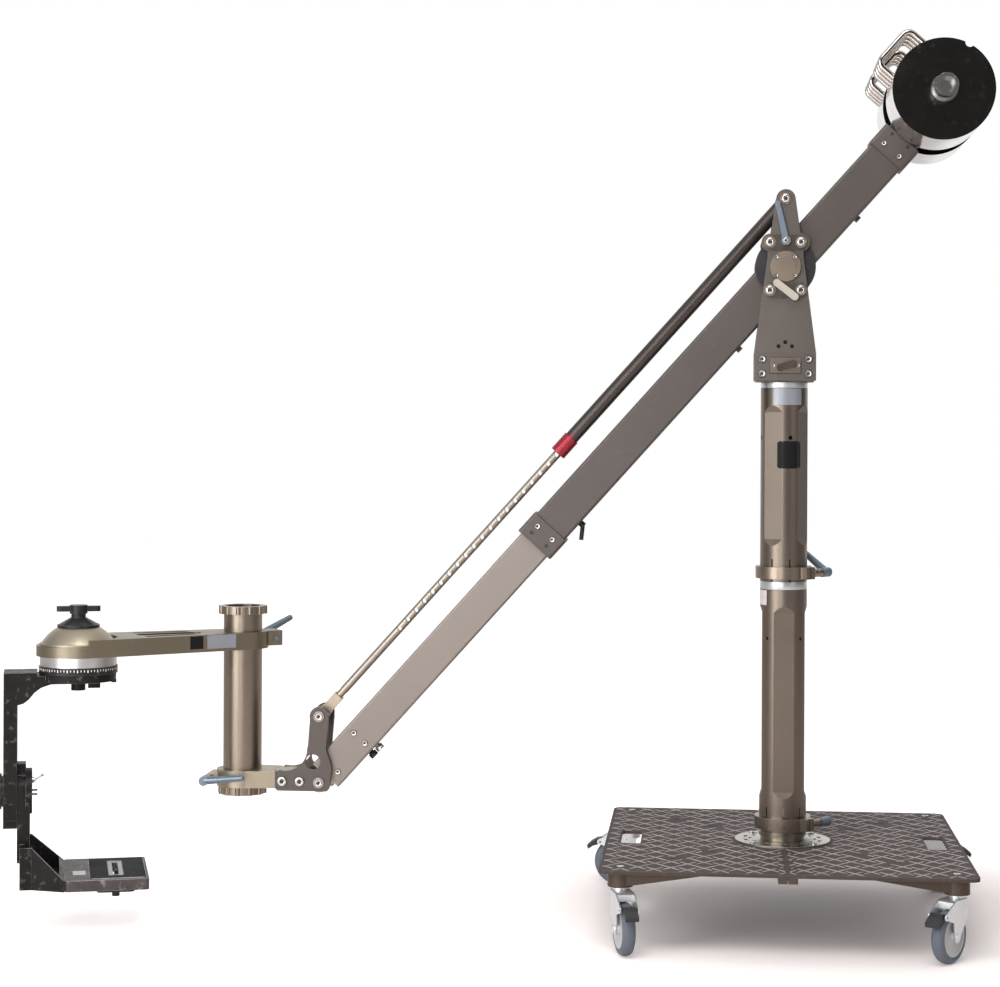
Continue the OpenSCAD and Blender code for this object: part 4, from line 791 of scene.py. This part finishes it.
@dataclass
class Castors(SubAssembly):
    """Wheels of the four castors, with their rims and tyres."""

    stem: float = 0.39
    trail: float = 0.038
    wheel_r: float = 0.0625
    wheel_w: float = 0.032
    rim_r: float = 0.046
    shoulder: float = 0.0095

    CORNERS = (("fl", -1, -1, -74.0), ("fr", 1, -1, -125.0), ("bl", -1, 1, 180.0), ("br", 1, 1, 0.0))
    LOOKS = {"zinc": tuple(f"fork_{corner[0]}" for corner in CORNERS),
             "black_plastic": tuple(f"pedal_{corner[0]}" for corner in CORNERS)}
    RIM = ((0.0072, 0.0028), (0.0125, 0.0028), (0.0138, 0.0012), (0.014, -0.004), (0.018, -0.0052),
           (0.031, -0.0046), (0.039, -0.003), (0.04, -0.0008), (0.0452, -0.0006), (0.0459, -0.0016))

    def axle(self, sx: int, sy: int, turn: float) -> Matrix:
        """The frame of a wheel's axle.

        Args:
            sx: Which side of the deck along X.
            sy: Which side along Y.
            turn: The castor's turn in degrees.

        Returns:
            The frame, at the middle of the wheel.
        """
        a = math.radians(turn)
        out = Vector((math.cos(a), math.sin(a), 0.0))
        origin = Vector((sx * self.stem, sy * self.stem, self.wheel_r)) + out * self.trail
        return line_frame(origin, Vector((-math.sin(a), math.cos(a), 0.0)), out)

    def build(self) -> None:
        """Builds the wheels: rounded tyres on dished rims with bearing caps."""
        half, r = self.wheel_w / 2, self.wheel_r
        side = [(self.rim_r, half - 0.0012), (self.rim_r + 0.003, half), (r - 0.01, half - 0.0006)]
        crown = [(r - self.shoulder + self.shoulder * math.cos(turn), (half - 0.001) * math.sin(turn))
                 for turn in (math.pi * k / 8 - QUARTER for k in range(9))]
        tread = [(radius, -height) for radius, height in side] + crown + side[::-1]
        rim = [(radius, -half - out) for radius, out in self.RIM]
        rim += [(radius, -height) for radius, height in reversed(rim)]
        for name, sx, sy, turn in self.CORNERS:
            for kind, finish, profile, node in (("tyre", "castor_tyre", tread, ()),
                                                ("rim", "castor_rim", rim, (f"wheel_{name}",))):
                maker = MeshMaker()
                maker.ring_body(profile, 72, self.axle(sx, sy, turn))
                self.add(maker, f"{kind}_{name}", finish, f"wheel_{name}_body", Slot.TYRE, instead_of=node)


@dataclass
class Column(SubAssembly):
    """The two column sections with their clamp rings and levers."""

    tube_r: float = 0.0585
    lower_top: float = 0.83
    upper_foot: float = 0.85
    upper_top: float = 1.332
    column_top: float = 1.347
    core: float = 0.0486
    label_turn: float = 0.032
    seam_turn: float = math.radians(-70.0)
    ray_r: float = 0.062

    LOOKS = {"bronze": ("column_lower", "column_upper"), "bronze_light": ("clamp_rings",),
             "lever_blue": ("clamp_lever_lower", "clamp_lever_upper")}
    FOOT = ((0.2036, 0.2138, 0.055), (0.2142, 0.2228, 0.0589), (0.2232, 0.2318, 0.0549))

    def build(self) -> None:
        """Sleeves the bare necks of the column and lays its plain labels."""
        for name, low, high in (("spigot_sleeve", self.lower_top, self.upper_foot),
                                ("journal_sleeve", self.upper_top, self.column_top)):
            maker = MeshMaker()
            r = self.tube_r - 0.0008
            maker.ring_body([(r - 0.001, low + 0.0004), (r + 0.0002, low + 0.0004), (r + 0.0004, low + 0.001),
                             (r + 0.0004, high - 0.001), (r + 0.0002, high - 0.0004),
                             (r - 0.001, high - 0.0004)], 96, HERE)
            self.add(maker, name, "collar_bare", "dolly", Slot.BRONZE)
        foot = MeshMaker()
        for low, high, r in self.FOOT:
            foot.ring_body([(self.core, low), (r - 0.0006, low), (r, low + 0.0006), (r, high - 0.0006),
                            (r - 0.0006, high), (self.core, high)], 96, HERE)
        self.add(foot, "foot_sleeves", "bronze_light", "dolly", Slot.BRONZE)
        for name, node, finish, turn, shift, z, size, corner in (
                ("plain_label_column", "column_upper", "label_silver", self.label_turn, 0.0048, 1.3105,
                 (0.07, 0.041), 0.0),
                ("plain_label_lower", "column_lower", "label_pale", self.seam_turn, 0.0, 0.8095,
                 (0.046, 0.037), 0.0),
                ("plain_sticker_column", "column_upper", "sticker_black", self.label_turn, 0.009, 1.166,
                 (0.058, 0.068), 0.005)):
            right = Vector((math.cos(turn), math.sin(turn), 0.0))
            self.patch(name, node, finish, "dolly", Slot.BRONZE,
                       right.cross(UP) * self.ray_r + right * shift + UP * z, right, size, corner)


@dataclass
class Tower(SubAssembly):
    """The head of the column that carries the beam."""

    pivot_z: float = 1.633
    cheek: float = 0.0653
    bar: float = 0.0733
    cheek_rows: Pair = (1.3673, 1.4033)
    cheek_x: float = 0.057
    ear_x: float = 0.038
    ear_rows: Pair = (1.693, 1.574)
    tongue_z: float = 1.801
    hub_screw: float = 0.032
    lever_front: float = 0.0153
    lever_z: float = 1.696
    dot_z: float = 1.4453
    latch_z: float = 1.3873

    LOOKS = {"cheek_bronze": ("tower_block", "cheek_plates"), "bar_bronze": ("tower_bars",),
             "screw": ("tower_screws",), "hub_spun": ("pivot_shafts",), "knob_brown": ("latch_knob",),
             "lever_blue": ("tilt_lever",), "cream": ("brake_lever",)}
    NEAR = (-1,)
    DOTS = ((0.0, 0.0), (-0.0165, -0.01), (0.0165, -0.01))
    LATCH_SCREWS = (-0.029, 0.032)

    def build(self) -> None:
        """Puts socket heads, washers, the latch's cover and dark discs of painted shade at the ends of holes
        on the tower.
        """
        cheek = list(product((-self.cheek_x, self.cheek_x), self.cheek_rows))
        ears = list(product((-self.ear_x, self.ear_x), self.ear_rows))
        lever = [(0.0, self.lever_z)]
        tongue = [(0.0, self.tongue_z)]
        corner = self.hub_screw * math.sqrt(0.5)
        hub = [(x, self.pivot_z + z) for x, z in product((-corner, corner), repeat=2)]
        dots = [(x, self.dot_z + z) for x, z in self.DOTS]
        face, bar, near = self.cheek, self.bar, self.NEAR
        self.heads("cheek_heads", "tower", spots(cheek, face + 0.003), 0.0084)
        self.discs("cheek_washers", "tower", "black_metal", Slot.BLACK, spots(cheek, face), 0.0104, 0.0009,
                   0.0084)
        self.heads("bar_heads", "tower", spots(ears, bar + 0.004, near), 0.0102)
        self.discs("bar_washers", "tower", "bronze_shine", Slot.BRONZE, spots(ears, bar, near), 0.0142,
                   0.0012, 0.0102)
        self.heads("tilt_lever_head", "tilt_lock", spots(lever, bar + self.lever_front, near), 0.0064, 0.0012)
        self.heads("hub_heads", "tower", spots(hub, face + 0.011), 0.0044, 0.0012, 0.001)
        self.heads("tongue_heads", "tower", spots(tongue, face + 0.008), 0.0102)
        self.discs("tongue_washers", "tower", "bronze_shine", Slot.BRONZE, spots(tongue, face), 0.0144,
                   0.0044, 0.0102)
        self.discs("hub_faces", "tower", "hub_spun", Slot.BRONZE, spots([(0.0, self.pivot_z)], face + 0.01),
                   0.0268, 0.0005)
        # Dark discs sunk in the cheeks' blind holes, painted as the shade inside them.
        self.discs("cheek_dots", "tower", "sticker_black", Slot.BLACK, spots(dots, face - 0.002), 0.0052,
                   0.0003)
        for name, finish, slot, wide, tall, out in (
                ("latch_shadow", "black_metal", Slot.BLACK, 0.0785, 0.0395, 0.0002),
                ("latch_cover", "bronze_light", Slot.CHAMPAGNE, 0.076, 0.037, 0.0062)):
            maker = MeshMaker()
            maker.prism(box(-wide / 2, wide / 2, -tall / 2, tall / 2), -BURIED, 0.0,
                        spots([(0.0, self.latch_z)], face + out, near)[0], 0.0002)
            self.add(maker, name, finish, "tower", slot)
        plate = [(x, self.latch_z) for x in self.LATCH_SCREWS]
        self.heads("latch_plate_heads", "tower", spots(plate, face + 0.006, near), 0.0038, 0.0016)


@dataclass
class Beam(SubAssembly):
    """The telescopic beam with its levelling rod."""

    pivot: Vector = field(default_factory=lambda: Vector((0.0, 0.0, 1.633)))
    slope: float = math.radians(48.15)
    collar_half: float = 0.0445
    inner_half: float = 0.0345
    collar_rows: Pair = (-0.895, 0.389)
    hollow_rows: Pair = (-0.917, 0.42)
    rod_r: float = 0.0175
    rod_span: Pair = (-0.7996, -0.0205)
    rod_rows: int = 24
    link: float = 0.168
    inner_low: float = 0.04375

    LOOKS = {"beam_dark": ("beam_outer", "beam_collars"), "black_disc": ("pivot_discs",),
             "black_metal": ("beam_lever",), "beam_light": ("beam_inner",),
             "champagne": ("beam_end_block", "rod_fork"), "rod_dark": ("rod_outer",),
             "red": ("rod_collar",), "rod_light": ("rod_inner",)}
    ACROSS = (-0.025, 0.025)
    ENDS = ((-1.6, -0.019), (-1.6, 0.019), (-1.701, -0.017), (-1.701, 0.017))
    KNOB = ((0.0072, 0.0), (0.0074, 0.0028), (0.0105, 0.003), (0.011, 0.0036), (0.011, 0.0156),
            (0.0096, 0.0166))
    KNOBS = (("front_knob", "black_metal", Slot.BLACK, -1.613), ("rear_knob", "screw", Slot.SCREW, -1.589))

    def lines(self) -> tuple[Vector, Vector]:
        """The directions along the beam and out of its top."""
        turn = Matrix.Rotation(-self.slope, 3, "Y")
        return turn @ Vector((1.0, 0.0, 0.0)), turn @ UP

    def side_places(self, points: Iterable[Pair], out: float) -> list[Matrix]:
        """Frames at places along the beam and above its middle, whose Z points out of its sides."""
        along, over = self.lines()
        return [Matrix.Translation(self.pivot + along * s + over * high + BESIDE * (side * out))
                @ Matrix.Rotation(-self.slope, 4, "Y") @ Matrix.Rotation(-side * QUARTER, 4, "X")
                for s, high in points for side in SIDES]

    def build(self) -> None:
        """Adds the screws' heads, dark discs of painted shade in the hollows, the rod's sleeve and the two
        small knobs.
        """
        collar = self.side_places(product(self.collar_rows, self.ACROSS), self.collar_half + 0.0015)
        self.heads("collar_heads", "beam", collar, 0.0063, lift=0.0015)
        # Dark discs sunk in the collars' holes, painted as the shade inside them.
        holes = self.side_places(product(self.hollow_rows, self.ACROSS), self.collar_half - 0.0006)
        self.discs("collar_holes", "beam", "black_plastic", Slot.BLACK, holes, 0.0049, 0.0008)
        self.heads("end_heads", "telescope", self.side_places(self.ENDS, self.inner_half + 0.0012), 0.0067,
                   lift=0.0012)
        along, over = self.lines()
        low, high = self.rod_span
        rows = [low + (high - low) * k / self.rod_rows for k in range(self.rod_rows + 1)]
        maker = MeshMaker()
        place = line_frame(self.pivot + UP * self.link, along, BESIDE)
        maker.ring_body([(self.rod_r - 0.0002, low), *((self.rod_r + 0.0002, row) for row in rows),
                         (self.rod_r - 0.0002, high)], 64, place)
        self.add(maker, "rod_sleeve", "rod_dark", "level_rod", Slot.ROD)
        for name, finish, slot, s in self.KNOBS:
            maker = MeshMaker()
            foot = self.pivot + along * s - over * self.inner_low
            maker.lathe(self.KNOB, 40, line_frame(foot, -over, BESIDE))
            self.add(maker, name, finish, "telescope", slot)


@dataclass
class Front(SubAssembly):
    """The bracket, the riser and the offset arm."""

    pin: Pair = (-1.1689, 0.32795)
    link: float = 0.168
    plate: float = 0.05
    bolt_rows: Pair = (-0.094, -0.049)
    arm_line: Vector = field(default_factory=lambda: Vector((0.785, 0.618, 0.0)))

    LOOKS = {"screw_bright": ("bracket_bolts",), "beam_dark": ("bracket_plates",),
             "champagne": ("clamp_block", "bowl_dome"), "arm_bronze": ("offset_arm",),
             "lever_blue": ("clamp_block_lever", "arm_lever"), "bronze_light": ("riser_tube", "ring_nuts"),
             "black_metal": ("tie_down_knob",), "silver": ("pan_ring",)}

    def build(self) -> None:
        """Adds the bolts' heads and washers, and a plain label and sticker on the arm."""
        x, z = self.pin
        pins = [(x, z), (x, z + self.link)]
        self.heads("bracket_pin_heads", "bracket", spots(pins, self.plate + 0.0045), 0.0092, 0.0026)
        self.discs("bracket_washers", "bracket", "bronze_light", Slot.BRONZE, spots(pins, self.plate), 0.0133,
                   0.0053, 0.0092)
        bolts = [(x + row, z + 0.002) for row in self.bolt_rows]
        self.heads("bracket_bolt_heads", "bracket", spots(bolts, self.plate + 0.003), 0.0114, lift=0.003)
        for name, finish, place, size in (
                ("plain_label_arm", "label_silver", (-1.4073, -0.1073, 0.6885), (0.079, 0.034)),
                ("plain_sticker_arm", "sticker_black", (-1.4614, -0.1499, 0.6885), (0.036, 0.032))):
            self.patch(name, "offset_arm", finish, "arm", Slot.CHAMPAGNE,
                       Vector(place) + self.arm_line.cross(UP) * 0.003, self.arm_line, size)


@dataclass
class Head(SubAssembly):
    """The pan and tilt head with its camera platform."""

    centre: Vector = field(default_factory=lambda: Vector((-1.73906, -0.23764, 0.0)))
    turn: float = math.radians(16.9)
    plate_top: float = 0.131646
    dial_r: float = 0.0957
    scale_top: float = 0.63515
    dial_ticks: int = 72
    tick_high: float = 0.0005

    LOOKS = {"black_metal": ("dial_ring", "tilt_knob", "camera_screw"), "screw": ("head_levers",),
             "black_worn": ("head_bracket", "tilt_plate"), "platform_grey": ("camera_platform",)}
    LAYERS = (("platform_rubber", "rubber", Slot.BLACK, 0.0018,
               ((0.029, 0.0732, -0.1225, 0.1225), (0.1108, 0.163, -0.1225, 0.1225),
                (0.0732, 0.1108, 0.0938, 0.1225), (0.0732, 0.1108, -0.1225, -0.0938))),
              ("slot_plate", "label_silver", Slot.SCREW, 0.0003,
               ((0.0745, 0.0846, -0.0925, 0.0925), (0.0994, 0.1095, -0.0925, 0.0925),
                (0.0846, 0.0994, 0.0755, 0.0925), (0.0846, 0.0994, -0.0925, -0.0755))),
              ("plain_label_platform", "label_pale", Slot.BLACK, 0.0003,
               ((-0.012, 0.019, -0.068, -0.018),)))

    def build(self) -> None:
        """Adds the dial's scale, every third tick a tall one, and the layers on the platform."""
        maker = MeshMaker()
        middle = Matrix.Translation(self.centre)
        for k in range(self.dial_ticks):
            tall, wide = (0.0068, 0.0013) if k % 3 == 0 else (0.0052, 0.001)
            place = (middle @ Matrix.Rotation(math.tau * k / self.dial_ticks, 4, "Z")
                     @ Matrix.Translation((self.dial_r, 0.0, 0.0)) @ Matrix.Rotation(QUARTER, 4, "Y"))
            maker.prism(box(-self.scale_top, tall - self.scale_top, -wide, wide), 0.0, self.tick_high, place)
        self.add(maker, "dial_scale", "tick_white", "pan", Slot.BLACK)
        place = middle @ Matrix.Translation((0.0, 0.0, self.plate_top)) @ Matrix.Rotation(self.turn, 4, "Z")
        for name, finish, slot, high, strips in self.LAYERS:
            maker = MeshMaker()
            for strip in strips:
                maker.prism(box(*strip), -0.0002, high, place)
            self.add(maker, name, finish, "cradle", slot)


class Weights(SubAssembly):
    """The counterweights on their shaft."""

    LOOKS = {"chrome_weight": ("counterweights",), "chrome": ("weight_shaft",)}


# ---------------------------------------------------------------- the studio


@dataclass
class Studio:
    """The camera, the lights, the floor and the white surroundings."""

    eye: Vector = field(default_factory=lambda: Vector((-0.18007, -5.63518, 1.232)))
    turn: float = 0.09478
    roll: float = 0.0044
    focal_px: float = 2230.0
    sensor: float = 36.0
    centre_v: float = 427.0
    image: Pair = (1000, 987)
    floor_reach: float = 14.0
    back_span: Pair = (0.3, 0.85)
    side_span: Pair = (-0.9, 0.1)
    side_levels: Pair = (0.45, 0.13)
    over_span: Pair = (0.3, 0.95)
    back_level: float = 0.4
    over_level: float = 0.8
    # Where and how strongly the floor's painted glow rises round the dolly.
    shadow_span: Pair = (0.34, 1.15)
    shadow_levels: Pair = (0.03, 0.6)

    LAMPS = (("key", (-3.5, -3.9, 1.9), (-0.3, 0.0, 1.2), (2.6, 3.4), 130.0),
             ("tall", (-1.3, -5.3, 1.8), (-0.2, 0.0, 1.2), (1.0, 3.0), 45.0),
             ("fill", (3.4, -3.4, 2.2), (0.1, 0.0, 0.9), (2.0, 2.4), 12.0),
             ("top", (-0.5, -3.0, 4.4), (0.0, 0.0, 0.4), (2.0, 2.0), 90.0))

    def camera(self) -> None:
        """Stands the camera where the photograph was taken from."""
        data = bpy.data.cameras.new("camera")
        data.sensor_width = self.sensor
        data.lens = self.focal_px * self.sensor / self.image[0]
        data.shift_y = (self.centre_v - self.image[1] / 2) / self.image[0]
        data.clip_start, data.clip_end = 0.1, 60.0
        thing = put_in_scene("camera", data)
        look = Vector((-math.sin(self.turn), math.cos(self.turn), 0.0))
        level = look.to_track_quat("-Z", "Y").to_matrix().to_4x4()
        thing.matrix_world = Matrix.Translation(self.eye) @ level @ Matrix.Rotation(self.roll, 4, "Z")
        bpy.context.scene.camera = thing

    @staticmethod
    def lamp(name: str, at: Colour, towards: Colour, size: Pair, power: float) -> None:
        """Adds a soft rectangular lamp.

        Args:
            name: The lamp's name.
            at: Where it stands.
            towards: The point that it faces.
            size: Its width and height.
            power: Its power in watts.
        """
        data = bpy.data.lights.new(name, "AREA")
        data.shape = "RECTANGLE"
        data.size, data.size_y = size
        data.energy = power
        thing = put_in_scene(name, data)
        thing.location = at
        thing.rotation_mode = "QUATERNION"
        thing.rotation_quaternion = (Vector(towards) - Vector(at)).to_track_quat("-Z", "Y")

    def world(self) -> None:
        """Surrounds the object with a white studio that is dimmer on the camera's side."""
        world = bpy.data.worlds.new("studio")
        world.use_nodes = True
        bpy.context.scene.world = world
        graph = Graph(world.node_tree)
        view = graph.node("TexCoord").outputs["Generated"]
        way = graph.node("SeparateXYZ", {"Vector": view}).outputs
        ray = graph.node("LightPath").outputs
        across = graph.span(way["X"], *self.side_span, *self.side_levels, smooth=True)
        over = graph.span(way["Z"], *self.over_span, 0.0, self.over_level, smooth=True)
        glossy = graph.span(ray["Is Glossy Ray"], 0.0, 1.0, self.back_level, 1.0)
        behind = graph.span(way["Y"], *self.back_span, graph.math("MAXIMUM", across, over), glossy,
                            smooth=True)
        seen = graph.math("MAXIMUM", ray["Is Camera Ray"], ray["Is Transmission Ray"])
        graph.fill(graph.tree.nodes["Background"].inputs,
                   {"Color": WHITE, "Strength": graph.math("MAXIMUM", behind, seen)})

    def floor(self) -> None:
        """Lays the pale floor, with a painted glow that only the camera sees, faint by the dolly and rising
        away from it, which paints the shadow's soft edge.
        """
        mesh = bpy.data.meshes.new("floor")
        reach = self.floor_reach
        mesh.from_pydata([(x, y, 0.0) for x, y in box(-reach, reach, -reach, reach)], [], [(0, 1, 2, 3)])
        thing = put_in_scene("floor", mesh)
        material = bpy.data.materials.new("pale_floor")
        material.use_nodes = True
        graph = Graph(material.node_tree)
        away = graph.node("VectorMath", {0: graph.node("TexCoord").outputs["Object"], 1: (0.1, 0.16, 0.0)},
                          operation="DISTANCE").outputs["Value"]
        # Painted light: the glow grows with the distance from the dolly's middle.
        painted_glow = graph.span(away, *self.shadow_span, *self.shadow_levels, smooth=True)
        seen = graph.node("LightPath").outputs["Is Camera Ray"]
        graph.fill(graph.tree.nodes["Principled BSDF"].inputs, {
            "Base Color": (0.93, 0.85, 0.825, 1.0), "Roughness": 0.5, "Specular IOR Level": 0.3,
            "Emission Color": (1.0, 0.97, 0.965, 1.0),
            "Emission Strength": graph.math("MULTIPLY", seen, painted_glow)})
        mesh.materials.append(material)

    def build(self) -> None:
        """Sets up the whole studio."""
        bpy.context.scene.view_settings.view_transform = "Standard"
        self.world()
        self.floor()
        for lamp in self.LAMPS:
            self.lamp(*lamp)


def main() -> None:
    """Loads the frame, sets up the studio and builds every sub-assembly."""
    logging.basicConfig(level=logging.INFO, format="%(name)s: %(message)s")
    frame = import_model()
    studio = Studio()
    studio.camera()
    studio.build()
    finishes = Finishes()
    for kind in (Deck, Castors, Column, Tower, Beam, Front, Head, Weights):
        part = kind(frame, finishes)
        part.dress()
        part.build()
        LOG.info("%s: %d pieces added", kind.__name__, len(part.made))


if __name__ == "__main__":
    main()
